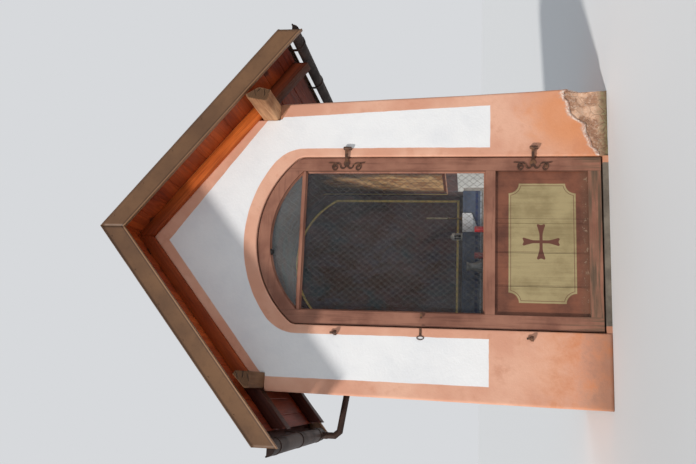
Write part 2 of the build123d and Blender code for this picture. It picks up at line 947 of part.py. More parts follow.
with BuildPart() as candlestick:
    across, back = candle_spot
    spot = (across, step_front + back, stand)
    with BuildSketch(Plane(origin=spot, x_dir=(1, 0, 0), z_dir=(0, -1, 0))):
        with BuildLine():
            Polyline(
                (0, 0),
                (stick_foot, 0),
                (stick_foot, foot_thickness),
                (candle_radius, foot_thickness),
                (candle_radius, stick_height - drip_pan_height),
                (drip_radius, stick_height - drip_pan_height),
                (drip_radius, stick_height),
                (candle_radius, stick_height),
                (candle_radius, stick_height + candle_height),
                (0, stick_height + candle_height),
                close=True,
            )
        make_face()
    revolve(axis=Axis(spot, (0, 0, 1)))
save(candlestick, "candlestick")

with BuildPart() as vase:
    across, back = vase_spot
    for radius, height in vase_profile:
        with BuildSketch(Plane(origin=(across, altar_front + back, altar_top + height))):
            RegularPolygon(radius, vase_sides)
    loft(ruled=True)
save(vase, "vase")
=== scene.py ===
import math

import bmesh
import bpy
import numpy as np
from mathutils import Matrix, Vector


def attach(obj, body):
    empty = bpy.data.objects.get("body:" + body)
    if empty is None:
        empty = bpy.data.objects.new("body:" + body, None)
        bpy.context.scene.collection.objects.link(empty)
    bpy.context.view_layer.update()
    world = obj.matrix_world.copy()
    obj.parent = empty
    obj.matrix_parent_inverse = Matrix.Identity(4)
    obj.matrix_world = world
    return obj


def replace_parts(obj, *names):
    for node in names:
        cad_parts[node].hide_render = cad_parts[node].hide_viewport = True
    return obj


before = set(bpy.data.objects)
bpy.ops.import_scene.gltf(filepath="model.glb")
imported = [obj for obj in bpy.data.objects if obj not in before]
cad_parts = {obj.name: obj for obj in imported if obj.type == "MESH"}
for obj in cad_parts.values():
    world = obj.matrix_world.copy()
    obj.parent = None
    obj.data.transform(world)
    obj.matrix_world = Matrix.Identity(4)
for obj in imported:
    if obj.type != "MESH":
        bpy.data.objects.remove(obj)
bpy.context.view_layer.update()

# Sizes that the pieces share, in metres, as the CAD part has them
chapel = {
    "front": -0.525, "rear": 0.525, "baseLeft": 0.905, "baseRight": 0.896,
    "leanLeft": 0.015, "leanRight": 0.036, "wallTop": 1.907, "spring": 1.740,
    "doorHalf": 0.5, "doorRise": 0.27, "doorCrown": 0.640, "doorHaunch": 0.081,
    "pitch": 39.5, "gableTop": 2.6412, "plateInset": 0.010, "plateWidth": 0.088,
}
roofPitch = math.radians(chapel["pitch"])
slope = math.tan(roofPitch)
plumb = 1 / math.cos(roofPitch)  # upright height of a layer for each metre square to the slope


def wallFace(side, z):
    # distance of a battered side face from the middle: the base less the lean times the height
    if side < 0:
        return chapel["baseLeft"] - chapel["leanLeft"] * z
    return chapel["baseRight"] - chapel["leanRight"] * z


# Camera: the photograph lies on its side, so the camera's own right is the chapel's foot
cameraPlace = {
    "at": (-0.8551, -4.9036, 0.7589), "yaw": 0.2023, "pitch": 0.1566, "roll": 0.0111,
    "lens": 40.30, "sensor": 36,
}


def addCamera():
    # forward, right and up from yaw and pitch, rolled a little, then turned a quarter for the picture
    yaw, pitch, roll = cameraPlace["yaw"], cameraPlace["pitch"], cameraPlace["roll"]
    forward = Vector((math.sin(yaw) * math.cos(pitch), math.cos(yaw) * math.cos(pitch), math.sin(pitch)))
    level = Vector((math.cos(yaw), -math.sin(yaw), 0))
    upright = level.cross(forward)
    right = math.cos(roll) * level + math.sin(roll) * upright
    up = math.cos(roll) * upright - math.sin(roll) * level
    data = bpy.data.cameras.new("camera")
    data.lens, data.sensor_width = cameraPlace["lens"], cameraPlace["sensor"]
    camera = bpy.data.objects.new("camera", data)
    turn = Matrix((-up, right, -forward)).transposed().to_4x4()
    camera.matrix_world = Matrix.Translation(cameraPlace["at"]) @ turn
    bpy.context.scene.collection.objects.link(camera)
    bpy.context.scene.camera = camera


addCamera()
bpy.context.scene.view_settings.view_transform = "Standard"


# Tools for finishes

def tone(red, green, blue):
    # a screen colour of 0 to 255 turned into light values: ((c + 0.055) / 1.055) to the power 2.4
    values = np.array((red, green, blue)) / 255
    light = np.where(values <= 0.04045, values / 12.92, ((values + 0.055) / 1.055) ** 2.4)
    return (*light.tolist(), 1.0)


class Wire:
    # one socket of a finish; sums, products and powers of wires add their own Math nodes
    def __init__(self, finish, socket):
        self.finish, self.socket = finish, socket

    def __add__(self, other):
        return self.finish.maths("ADD", self, other)

    def __sub__(self, other):
        return self.finish.maths("SUBTRACT", self, other)

    def __rsub__(self, other):
        return self.finish.maths("SUBTRACT", other, self)

    def __mul__(self, other):
        return self.finish.maths("MULTIPLY", self, other)

    def __truediv__(self, other):
        return self.finish.maths("DIVIDE", self, other)

    def __pow__(self, other):
        return self.finish.maths("POWER", self, other)

    def __abs__(self):
        return self.finish.maths("ABSOLUTE", self)

    __radd__ = __add__
    __rmul__ = __mul__


class Finish:
    # one material: its tree, its main shader, and the object's own coordinates x, y and z
    def __init__(self, name, **constants):
        self.material = bpy.data.materials.new(name)
        self.material.use_nodes = True
        self.tree = self.material.node_tree
        self.shader = self.tree.nodes["Principled BSDF"]
        for key, value in constants.items():
            self.shader.inputs[key.replace("_", " ")].default_value = value
        self.place = self.node("ShaderNodeTexCoord", out="Object")
        split = self.node("ShaderNodeSeparateXYZ", inputs={0: self.place}).socket.node
        self.x, self.y, self.z = (Wire(self, socket) for socket in split.outputs)

    def node(self, kind, settings=None, inputs=None, out=0):
        made = self.tree.nodes.new(kind)
        for key, value in (settings or {}).items():
            setattr(made, key, value)
        for key, value in (inputs or {}).items():
            self.feed(made.inputs[key], value)
        return Wire(self, made.outputs[out])

    def feed(self, socket, value):
        if isinstance(value, Wire):
            self.tree.links.new(value.socket, socket)
        else:
            socket.default_value = value

    def maths(self, operation, *terms):
        return self.node("ShaderNodeMath", {"operation": operation}, dict(enumerate(terms)))

    def least(self, *terms):
        found = terms[0]
        for term in terms[1:]:
            found = self.maths("MINIMUM", found, term)
        return found

    def most(self, *terms):
        found = terms[0]
        for term in terms[1:]:
            found = self.maths("MAXIMUM", found, term)
        return found

    def step(self, value, low, high, first=0.0, last=1.0):
        # smooth ramp from first to last while the value goes from low to high
        return self.node("ShaderNodeMapRange", {"interpolation_type": "SMOOTHSTEP"},
                         {"Value": value, "From Min": low, "From Max": high, "To Min": first, "To Max": last})

    def fade(self, value, low, high):
        # smooth ramp from one down to nothing
        return self.step(value, low, high, 1.0, 0.0)

    def stroke(self, gap, half, edge):
        # one on a line, as far as half from it to either side, and nothing past the edge
        return self.fade(abs(gap), half, edge)

    def vector(self, x, y, z):
        return self.node("ShaderNodeCombineXYZ", inputs={0: x, 1: y, 2: z})

    def stretched(self, x=1.0, y=1.0, z=1.0):
        # the object's coordinates times a number each; a small number draws a pattern out that way
        return self.vector(self.x * x, self.y * y, self.z * z)

    def attribute(self, name):
        return self.node("ShaderNodeAttribute", {"attribute_name": name}, out="Fac")

    def noise(self, scale, detail, rough=0.55, at=None, warp=0.0):
        return self.node("ShaderNodeTexNoise", inputs={
            "Vector": at or self.place, "Scale": scale, "Detail": detail, "Roughness": rough,
            "Distortion": warp})

    def cells(self, scale, at=None, feature="F1"):
        return self.node("ShaderNodeTexVoronoi", {"feature": feature},
                         {"Vector": at or self.place, "Scale": scale}, out="Distance")

    def mix(self, factor, low, high):
        return self.node("ShaderNodeMix", {"data_type": "RGBA"}, {0: factor, 6: low, 7: high}, out=2)

    def between(self, value, low, high, first, second):
        # from the first colour to the second while the value goes from low to high
        return self.mix(self.step(value, low, high), first, second)

    def shade(self, factor, colour, other):
        # multiplies the colour by another one, as much as the factor says
        return self.node("ShaderNodeMix", {"data_type": "RGBA", "blend_type": "MULTIPLY"},
                         {0: factor, 6: colour, 7: other}, out=2)

    def finish(self, colour, rough=None, height=None, relief=None, metal=None, alpha=None):
        # height is in shares of the relief, which is in metres
        fed = {"Base Color": colour, "Roughness": rough, "Metallic": metal, "Alpha": alpha}
        for name, value in fed.items():
            if value is not None:
                self.feed(self.shader.inputs[name], value)
        if height is not None:
            bump = self.node("ShaderNodeBump", inputs={"Strength": 1.0, "Distance": relief, "Height": height})
            self.feed(self.shader.inputs["Normal"], bump)
        return self.material


def mottledFinish(name, light, dark, cloud, reach, gloss, relief=None, tall=1.0, warp=0.0, **constants):
    # two tones by one cloud of noise, which gives the relief too; gloss is a number, or a ramp over the cloud
    f = Finish(name, **constants)
    blotch = f.noise(*cloud, at=f.stretched(z=tall), warp=warp)
    rough = f.step(blotch, *gloss) if isinstance(gloss, tuple) else gloss
    height = blotch if relief else None
    return f.finish(f.between(blotch, *reach, light, dark), rough, height, relief)


def dress(finish, *nodes):
    # gives CAD nodes their material
    for name in nodes:
        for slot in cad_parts[name].material_slots:
            slot.material = finish


# Tools for surfaces

def lumps(points, size, seed):
    # smooth random heights from -1 to 1: hashed values at the corners of cells, blended inside each cell
    scaled = points / size + seed * 17.31
    corner = np.floor(scaled)
    inside = scaled - corner
    inside = inside * inside * (3 - 2 * inside)
    total = np.zeros(points.shape[:-1])
    for offset in np.ndindex(2, 2, 2):
        spot = corner + offset
        value = np.sin(spot @ np.array((12.9898, 78.233, 37.719)) + seed) * 43758.5453
        weight = np.prod(np.where(np.array(offset) == 1, inside, 1 - inside), axis=-1)
        total += weight * (value - np.floor(value))
    return total * 2 - 1


def gridOf(x, y, z):
    # one grid of points from three arrays, each spread to the shape of all
    return np.stack(np.broadcast_arrays(x, y, z), axis=-1)


def quads(rows, columns, wrapRows=False, wrapColumns=False):
    # the four corners of each cell of a grid of points, row by row
    index = np.arange(rows * columns).reshape(rows, columns)
    right = np.roll(index, -1, axis=1)
    down = np.roll(index, -1, axis=0)
    both = np.roll(down, -1, axis=1)
    cells = np.stack((index, right, both, down), axis=-1)
    cells = cells[: rows if wrapRows else rows - 1, : columns if wrapColumns else columns - 1]
    return cells.reshape(-1, 4)


def joined(shapes):
    # points and faces of several grids, each with its blocks of cells, as those of one mesh
    points, faces, count = [], [], 0
    for grid, cells in shapes:
        for block in cells:
            faces += (block + count).tolist()
        points.append(grid.reshape(-1, 3))
        count += len(points[-1])
    return np.concatenate(points), faces


def addMesh(name, points, faces, finish, body, smooth=True):
    # one object at the origin from corner places and lists of corners
    mesh = bpy.data.meshes.new(name)
    mesh.from_pydata(points.reshape(-1, 3).tolist(), [], faces)
    mesh.materials.append(finish)
    mesh.polygons.foreach_set("use_smooth", np.full(len(mesh.polygons), smooth))
    mesh.update()
    made = bpy.data.objects.new(name, mesh)
    bpy.context.scene.collection.objects.link(made)
    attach(made, body)
    return made


def merged(made, distance, outward=True):
    # joins doubled corners and turns every face outwards
    work = bmesh.new()
    work.from_mesh(made.data)
    bmesh.ops.remove_doubles(work, verts=work.verts, dist=distance)
    bmesh.ops.dissolve_degenerate(work, edges=work.edges, dist=distance / 10)
    if outward:
        bmesh.ops.recalc_face_normals(work, faces=work.faces)
    work.to_mesh(made.data)
    work.free()
    return made


def solid(made, thickness, offset=-1.0, even=True):
    # gives an open sheet its thickness behind its face
    wall = made.modifiers.new("wall", "SOLIDIFY")
    wall.thickness, wall.offset, wall.use_even_offset = thickness, offset, even
    return made


def mark(made, name, values):
    # keeps a number from 0 to 1 at each corner, for a finish to read
    made.data.attributes.new(name, "FLOAT", "POINT").data.foreach_set("value", values.astype(np.float32))


def loft(grid, loop=False):
    # closed rings of corners, one row after another, joined by quads; the first and last ring are capped
    rows, columns = grid.shape[:2]
    cells = [quads(rows, columns, wrapRows=loop, wrapColumns=True)]
    if not loop:
        cells += [np.arange(columns)[None, ::-1], np.arange((rows - 1) * columns, rows * columns)[None]]
    return grid, cells


def addShapes(name, shapes, finish, body, smooth=True, weld=0.0001):
    # one object from several lofts
    points, faces = joined(shapes)
    return merged(addMesh(name, points, faces, finish, body, smooth), weld)


def carried(profile, path, up=(0, 0, 1), scale=None):
    # a closed profile (side, rise) set square to a path at each of its points
    path, profile = np.asarray(path, float), np.asarray(profile, float)
    heading = np.gradient(path, axis=0)
    heading /= np.linalg.norm(heading, axis=1, keepdims=True)
    side = np.cross(heading, np.asarray(up, float))
    side /= np.linalg.norm(side, axis=1, keepdims=True)
    rise = np.cross(side, heading)
    size = np.ones(len(path)) if scale is None else np.asarray(scale, float)
    ring = profile[None, :, :1] * side[:, None] + profile[None, :, 1:] * rise[:, None]
    return loft(path[:, None] + size[:, None, None] * ring)


def circle(radius, sides):
    # corners of a round profile: the radius times the cosine and the sine of evenly spaced angles
    turn = np.linspace(0, 2 * np.pi, sides, endpoint=False)
    return radius * np.stack((np.cos(turn), np.sin(turn)), axis=1)


def roundedBox(low, high, under, over, radius, steps=3):
    # a rectangle whose corners are quarter circles, from the lower right one round to the lower left
    turn = np.linspace(0, math.pi / 2, steps)
    arc = np.stack((np.sin(turn), 1 - np.cos(turn)), 1) * radius
    mirrored = arc[:, ::-1] * (-1, 1)
    return np.concatenate((arc + (high - radius, under), mirrored + (high, over - radius),
                           (low + radius, over) - arc, (low, under + radius) - mirrored))


def turned(profile, centre, sides=48, flute=None):
    # a profile of radius and height turned about an upright axis: the radius times the cosine and the sine
    # of each angle; flute gives a factor for the radius by angle and height
    profile = np.asarray(profile, float)
    angle = np.linspace(0, 2 * np.pi, sides, endpoint=False)
    radius, height = profile[:, :1], profile[:, 1:]
    if flute is not None:
        radius = radius * flute(angle, height)
    return loft(gridOf(radius * np.cos(angle), radius * np.sin(angle), height) + centre)


def outwards(section):
    # the direction from the middle of a section to each of its corners, at unit length
    away = section - section.mean(axis=0)
    return away / np.linalg.norm(away, axis=1, keepdims=True)


def slopeBar(side, section, line, start, end, rows, rough=0.0, seed=1):
    # a closed section of depth and plumb height over a roof line, carried from start to end down the slope:
    # the height is the line less the slope times the distance from the middle, and the section's own on top
    x = np.linspace(start, end, rows)[:, None]
    section = np.asarray(section, float)
    grid = gridOf(side * x, section[:, 0], line - slope * x + section[:, 1])
    if rough:
        grained = grid * (0.25, 1.0, 1.0)
        shift = lumps(grained, 0.05, seed) * rough + lumps(grained, 0.018, seed + 1) * rough * 0.4
        grid[..., 1:] += shift[..., None] * outwards(section)
    return loft(grid)


# Painted plaster outside: white fields between earth-red bands, and a red plinth
fieldLines = {
    "left": (-0.8137, 0.0085), "right": (0.8379, -0.0480), "foot": 0.6556,
    "gableLeft": (2.5614, 0.8039), "gableRight": (2.5335, -0.7517), "gableSquare": 0.78,
    "bandHalf": 0.55, "bandHaunch": 0.24, "bandCrown": 0.75, "bandTop": 2.085,
    "sideInset": 0.10, "sideTop": 1.80, "facePlane": (0.5205, 0.5215), "edge": 0.0018, "waver": 0.006,
    "crumbTop": (1.896, -0.526), "crumbX": 0.735,
}
plasterTones = {
    "red": tone(213, 156, 131), "redPale": tone(228, 178, 153), "redDeep": tone(190, 126, 98),
    "damp": tone(208, 132, 88), "dirt": tone(142, 100, 80), "stain": tone(218, 144, 98),
    "white": tone(238, 238, 239), "whiteGrey": tone(228, 229, 232), "mortar": tone(196, 140, 108),
    "mortarDeep": tone(150, 104, 80), "bareLip": tone(238, 218, 204), "lipShade": tone(206, 160, 138),
}


def archGap(f, half, haunch, crown, top):
    # signed distance outside a three-centred arch: to the haunch's circle at its sides, to the crown's above
    over = f.most(f.z - chapel["spring"], 0.0)
    across = abs(f.x)
    inset = half - haunch
    drop = crown - (top - chapel["spring"])
    toHaunch = ((across - inset) ** 2 + over ** 2) ** 0.5 - haunch
    toCrown = (across ** 2 + (over + drop) ** 2) ** 0.5 - crown
    atSide = f.step(across - inset - over * (inset / drop), -0.0001, 0.0001)
    return toHaunch * atSide + toCrown * (1 - atSide)


def redPlaster(f):
    # limewash in three tones by large noise, orange damp low down, dirt at the foot, and painted shade over
    # the foot on the left
    tones = plasterTones
    blotch = f.noise(2.2, 4, 0.6)
    patch = f.noise(9.0, 4, 0.65)
    colour = f.between(blotch, 0.38, 0.66, tones["red"], tones["redPale"])
    colour = f.mix(f.step(patch, 0.52, 0.80) * 0.55, colour, tones["redDeep"])
    low = f.fade(f.z + (blotch - 0.5) * 0.5, 0.10, 0.62)
    colour = f.mix(low * f.step(patch + blotch * 0.5, 0.55, 0.95) * 0.85, colour, tones["damp"])
    # an orange stain over the broken corner, as a blurred circle with a ragged edge
    away = ((f.x - 0.73) ** 2 + ((f.z - 0.22) * 0.85) ** 2) ** 0.5 + (patch - 0.5) * 0.36
    stained = f.fade(away, 0.10, 0.25) * f.fade(f.y, -0.45, -0.30)
    colour = f.mix(stained * 0.7, colour, tones["stain"])
    foot = f.fade(f.z + (patch - 0.5) * 0.35, 0.0, 0.20)
    # dirt at the foot, with painted shade making it darker still on the left
    onLeft = f.step(f.x, 0.1, -0.75)
    return f.mix(foot * (0.25 + onLeft * 0.45), colour, tones["dirt"])


def whiteField(f, atRear):
    # one inside the white fields: where every line is passed on its inner side
    lines = fieldLines

    def line(name, way):
        # a leaning line: its place at nought, and its lean times the way along it
        start, lean = lines[name]
        return start + way * lean

    foot = f.z - lines["foot"]
    gable = f.least(line("gableLeft", f.x) - f.z, line("gableRight", f.x) - f.z) * lines["gableSquare"]
    arch = archGap(f, lines["bandHalf"], lines["bandHaunch"], lines["bandCrown"], lines["bandTop"])
    face = f.least(f.x - line("left", f.z), line("right", f.z) - f.x, foot, gable, arch + atRear * 5)
    flank = f.least(chapel["rear"] - lines["sideInset"] - abs(f.y), foot, lines["sideTop"] - f.z)
    onFace = f.step(abs(f.y), *lines["facePlane"])
    gap = face * onFace + flank * (1 - onFace) + (f.noise(14.0, 3) - 0.5) * lines["waver"]
    return f.step(gap, -lines["edge"], lines["edge"])


def coatFinish():
    f = Finish("limePlaster", Specular_IOR_Level=0.25)
    lines, tones = fieldLines, plasterTones
    atRear = f.step(f.y, 0.0, 0.1)
    grime = f.noise(3.5, 5, 0.6)
    pale = f.between(grime, 0.35, 0.75, tones["white"], tones["whiteGrey"])
    colour = f.mix(whiteField(f, atRear), redPlaster(f), pale)
    # crumbly mortar where the right-hand corner of the wall's top has broken away under the plate
    crumb = f.noise(55.0, 4, 0.65)
    height, lean = lines["crumbTop"]
    topGap = f.z - (height + (f.x - lines["crumbX"]) * lean) + (crumb - 0.5) * 0.012
    mortar = f.step(topGap, -0.001, 0.001) * f.step(f.x, lines["crumbX"] - 0.004, lines["crumbX"])
    colour = f.mix(mortar * (1 - atRear), colour, f.mix(crumb, tones["mortar"], tones["mortarDeep"]))
    # chalky where the coat is marked as a broken lip
    ragged = f.noise(62.0, 5, 0.75)
    chalk = f.between(ragged, 0.44, 0.56, tones["bareLip"], tones["lipShade"])
    colour = f.mix(f.step(f.attribute("lip") + (ragged - 0.5) * 1.9, 0.38, 0.60), colour, chalk)
    trowel = f.noise(7.0, 5, 0.62, warp=0.4) * 0.75 + f.noise(70.0, 4, 0.6) * 0.25
    return f.finish(colour, f.step(grime, 0.3, 0.8, 0.82, 0.94), trowel, 0.004)


# Niche walls: red reveals, and inside muted washes of colour with thin gold lines over a plain dado
nicheTones = {
    "gold": tone(255, 228, 136), "violet": tone(128, 98, 96), "slate": tone(106, 102, 118),
    "umber": tone(108, 80, 68), "dusk": tone(66, 56, 56), "teal": tone(78, 104, 112),
    "rose": tone(130, 84, 78), "sand": tone(226, 186, 136),
    "ochre": tone(164, 108, 66), "frame": tone(108, 58, 42), "dado": tone(86, 86, 90),
    "dadoPale": tone(240, 242, 240), "seam": tone(214, 160, 132),
    "plainRough": (0.85,) * 3 + (1,), "goldRough": (0.45,) * 3 + (1,),
}
nicheLines = {
    "reveal": -0.464, "back": 0.275, "side": 0.46, "middle": -0.010, "half": 0.436, "foot": 0.846,
    "arcHeight": 1.4434, "arcRadius": 0.4946, "halfWidth": 0.0062, "panelNear": -0.285, "panelFar": 0.158,
    "panelFoot": 0.930, "panelTop": 1.62, "sideLine": 0.214, "seamDrop": 0.012, "dadoEnd": 0.138,
}


def nicheWash(f, wash, second, fine):
    # clouds of muted colour that lie over each other
    tones = nicheTones
    colour = f.between(wash, 0.40, 0.66, tones["violet"], tones["slate"])
    colour = f.mix(f.step(second, 0.46, 0.68), colour, tones["umber"])
    third = f.noise(2.6, 4, 0.6, at=f.vector(f.x + 3.0, f.y, f.z * 0.7), warp=1.2)
    colour = f.mix(f.step(third, 0.50, 0.66) * 0.75, colour, tones["teal"])
    colour = f.mix(f.step(third, 0.42, 0.30) * 0.75, colour, tones["rose"])
    colour = f.mix(f.step(second, 0.46, 0.30) * 0.6, colour, tones["dusk"])
    return f.shade(f.step(fine, 0.40, 0.75) * 0.35, colour, tones["dusk"])


def rearLine(f):
    # gold line round the rear painting: two uprights under one arc, and a line along its foot
    lines = nicheLines
    aside = abs(f.x - lines["middle"])
    arc = (aside ** 2 + f.most(f.z - lines["arcHeight"], 0.0) ** 2) ** 0.5 - lines["arcRadius"]
    inside = f.most(aside - lines["half"], arc, lines["foot"] - f.z)
    onBack = f.step(f.y, lines["back"] - 0.01, lines["back"] - 0.005)
    return f.stroke(inside, lines["halfWidth"], lines["halfWidth"] + 0.002) * onBack


def sidePanel(f, colour, onSide, second):
    # painted panel with a round head on each side wall, in a dark frame, over a pale seam; painted shade
    # darkens it towards its edge and head
    lines, tones = nicheLines, nicheTones
    middle = (lines["panelNear"] + lines["panelFar"]) / 2
    half = (lines["panelFar"] - lines["panelNear"]) / 2
    headGap = ((f.y - middle) ** 2 + f.most(f.z - lines["panelTop"], 0.0) ** 2) ** 0.5 - half
    panelGap = f.most(headGap, lines["panelFoot"] - f.z)
    streak = f.noise(7.0, 6, 0.7, at=f.stretched(y=1.7, z=0.9), warp=1.4)
    panel = f.between(streak, 0.38, 0.66, tones["sand"], tones["ochre"])
    panel = f.mix(f.stroke(streak - 0.55, 0.006, 0.014) * 0.7, panel, tones["umber"])
    # painted shade: darker near the panel's edge and higher up
    rim = headGap + f.step(f.z, 1.2, 1.8) * 0.10 + (second - 0.5) * 0.12
    panel = f.mix(f.step(rim, -0.09, 0.0) * 0.8, panel, tones["dusk"])
    colour = f.mix(f.step(panelGap, 0.002, -0.002) * onSide, colour, panel)
    colour = f.mix(f.stroke(panelGap, 0.008, 0.010) * onSide, colour, tones["frame"])
    behind = f.fade(f.y, lines["sideLine"] - 0.001, lines["sideLine"] + 0.001)
    seam = f.stroke(f.z - lines["panelFoot"] + lines["seamDrop"], 0.0025, 0.004) * behind
    return f.mix(seam * onSide, colour, tones["seam"])


def nicheFinish():
    f = Finish("nichePaint", Specular_IOR_Level=0.2)
    lines, tones = nicheLines, nicheTones
    tall = f.stretched(z=0.55)
    wash = f.noise(3.4, 6, 0.62, at=tall, warp=1.6)
    second = f.noise(5.5, 5, 0.6, at=tall, warp=0.8)
    fine = f.noise(26.0, 5, 0.7, at=tall, warp=0.5)
    onWall = f.step(abs(f.x), lines["side"] - 0.01, lines["side"] - 0.004)
    onSide = onWall * f.step(f.y, -0.30, -0.295)
    colour = sidePanel(f, nicheWash(f, wash, second, fine), onSide, second)
    # plain dado below, chalky white on the side walls in front of the altar's step, and elsewhere dark as
    # painted shade
    chalk = f.mix(f.step(fine, 0.45, 0.85) * 0.6, tones["dadoPale"], tones["slate"])
    near = f.fade(f.y, lines["dadoEnd"], lines["dadoEnd"] + 0.003)
    dado = f.mix(onWall * near, f.mix(wash, tones["dado"], tones["umber"]), chalk)
    colour = f.mix(f.fade(f.z, lines["foot"] - 0.0015, lines["foot"] + 0.0015), colour, dado)
    # an upright gold line behind each panel, and the one round the rear painting
    above = f.step(f.z, lines["panelFoot"] - 0.012, lines["panelFoot"] - 0.010)
    upright = f.stroke(f.y - lines["sideLine"], lines["halfWidth"], lines["halfWidth"] + 0.002)
    gold = f.most(rearLine(f), upright * onSide * above)
    colour = f.mix(gold, colour, tones["gold"])
    reveal = f.fade(f.y, lines["reveal"] - 0.0005, lines["reveal"] + 0.0005)
    colour = f.mix(reveal, colour, redPlaster(f))
    rough = f.mix(gold, tones["plainRough"], tones["goldRough"])
    return f.finish(colour, rough, f.noise(9.0, 5, 0.6) * 0.7 + fine * 0.3, 0.003)


insideTones = {
    "altar": (tone(176, 172, 168), tone(142, 134, 128)), "floor": (tone(128, 118, 106), tone(88, 80, 72)),
}


def altarFinish():
    f = Finish("altarPlaster", Specular_IOR_Level=0.2)
    cloud = f.noise(5.0, 5, 0.6)
    colour = f.between(cloud, 0.35, 0.7, *insideTones["altar"])
    return f.finish(colour, 0.9, cloud * 0.8 + f.noise(60.0, 3) * 0.2, 0.003)


plaster = coatFinish()
floorStone = mottledFinish("floorStone", *insideTones["floor"], cloud=(6.0, 6, 0.65), reach=(0.35, 0.7),
                           gloss=0.9, relief=0.006, Specular_IOR_Level=0.3)
dress(nicheFinish(), "front_pier_left", "front_pier_right", "front_gable", "side_wall_left",
      "side_wall_right", "rear_wall", "niche_vault")
dress(floorStone, "floor_slab")
dress(altarFinish(), "altar")
print("masonry has its finishes")


# Plaster coat: one skin over the front, the sides, the rear and both gables
coat = {
    "proud": 0.004, "thick": 0.012, "arris": 0.006, "corner": 0.012, "returnDepth": 0.010, "lap": 0.0005,
    "jambRows": 84, "haunchRows": 12, "notchRows": 6, "gableRows": 40, "frontColumns": 58, "bendRows": 5,
    "sideColumns": 44, "sideCrowding": 1.7, "rearColumns": 18, "rearRows": 24,
    "wave": 0.0022, "foot": 0.001, "lip": 0.046, "curl": 0.0036, "lossFrom": 0.4, "sideFrom": 0.7,
    "leastLift": 0.004,
}
# The line above which the plaster still holds at the lower right, as distance along the wall and height
breakLine = {
    "along": (0.44, 0.495, 0.532, 0.561, 0.626, 0.666, 0.696, 0.721, 0.757,
              0.828, 0.848, 0.879, 0.93, 0.99, 1.05, 1.11, 1.13),
    "height": (0.0, 0.042, 0.066, 0.086, 0.101, 0.112, 0.138, 0.180, 0.195,
               0.212, 0.230, 0.242, 0.180, 0.110, 0.055, 0.015, 0.0),
}


def breakHeight(along):
    # the broken edge, made jagged by two sizes of noise where the plaster is lost
    height = np.interp(along, breakLine["along"], breakLine["height"])
    spot = gridOf(along, 0, 0)
    rag = lumps(spot, 0.031, 3) * 0.014 + lumps(spot, 0.010, 5) * 0.006
    return np.maximum(height + rag * np.clip(height / 0.03, 0, 1), coat["foot"])


def doorOutline():
    # half the doorway, from its foot to the crown of its three-centred arch: the circles' centres plus their
    # radius times cosine and sine; also the outward direction at each point
    spring, half, haunch, crown = (chapel[k] for k in ("spring", "doorHalf", "doorHaunch", "doorCrown"))
    drop = crown - chapel["doorRise"]
    lean = math.atan2(drop, half - haunch)
    jamb = np.linspace(coat["foot"], spring, coat["jambRows"])
    rows = coat["haunchRows"] + 2 * coat["notchRows"] + coat["gableRows"]
    run = np.linspace(0, 1, rows + 1)[1:] * (haunch * lean + crown * (math.pi / 2 - lean))
    early = run < haunch * lean
    turn = np.where(early, run / haunch, lean + (run - haunch * lean) / crown)
    across = np.where(early, half - haunch + haunch * np.cos(turn), crown * np.cos(turn))
    height = spring + np.where(early, haunch * np.sin(turn), crown * np.sin(turn) - drop)
    line = np.concatenate((np.stack((np.full(len(jamb), half), jamb), 1), np.stack((across, height), 1)))
    outward = np.stack((np.cos(turn), np.sin(turn)), 1)
    return line, np.concatenate((np.tile((1.0, 0.0), (len(jamb), 1)), outward))


def coatOutline(side):
    # outer edge of the front, row for row with the doorway: up the wall, in along its top, up past the
    # plate and up the gable; also the plate's distance from the middle
    top, spring = chapel["wallTop"], chapel["spring"]
    haunch = np.linspace(spring, top, coat["haunchRows"] + 1)[1:]
    up = np.concatenate((np.linspace(coat["foot"], spring, coat["jambRows"]), haunch))
    wall = np.stack((wallFace(side, up) + coat["proud"] - coat["corner"], up), 1)
    plate = wallFace(side, top) - chapel["plateInset"] - chapel["plateWidth"]
    inward = np.linspace(wall[-1, 0], plate, coat["notchRows"] + 1)[1:]
    notch = np.stack((inward, np.full(len(inward), top)), 1)
    past = np.linspace(top, chapel["gableTop"] - slope * plate, coat["notchRows"] + 1)[1:]
    past = np.stack((np.full(len(past), plate), past), 1)
    gable = np.linspace(plate, 0, coat["gableRows"] + 1)[1:]
    gable = np.stack((gable, chapel["gableTop"] - slope * gable), 1)
    return np.concatenate((wall, notch, past, gable)), plate


def frontGrid(side, outer):
    # columns run from the doorway's return round its arris, a quarter circle, and by even shares of the way
    # over the front to the corner
    inner, outward = doorOutline()
    face = chapel["front"] - coat["proud"]
    turn = np.linspace(0, math.pi / 2, coat["bendRows"])
    away = np.concatenate(((0,), coat["arris"] * (1 - np.cos(turn)))) - coat["lap"]
    depth = face + np.concatenate(((coat["returnDepth"],), coat["arris"] * (1 - np.sin(turn))))
    edge = inner[:, None] + outward[:, None] * away[:, None]
    share = np.linspace(0, 1, coat["frontColumns"] + 1)[1:, None]
    flat = edge[:, -1:] + (outer[:, None] - edge[:, -1:]) * share
    plan = np.concatenate((edge, flat), 1)
    depth = np.concatenate((depth, np.full(len(share), face)))
    return gridOf(side * plan[..., 0], depth, plan[..., 1])


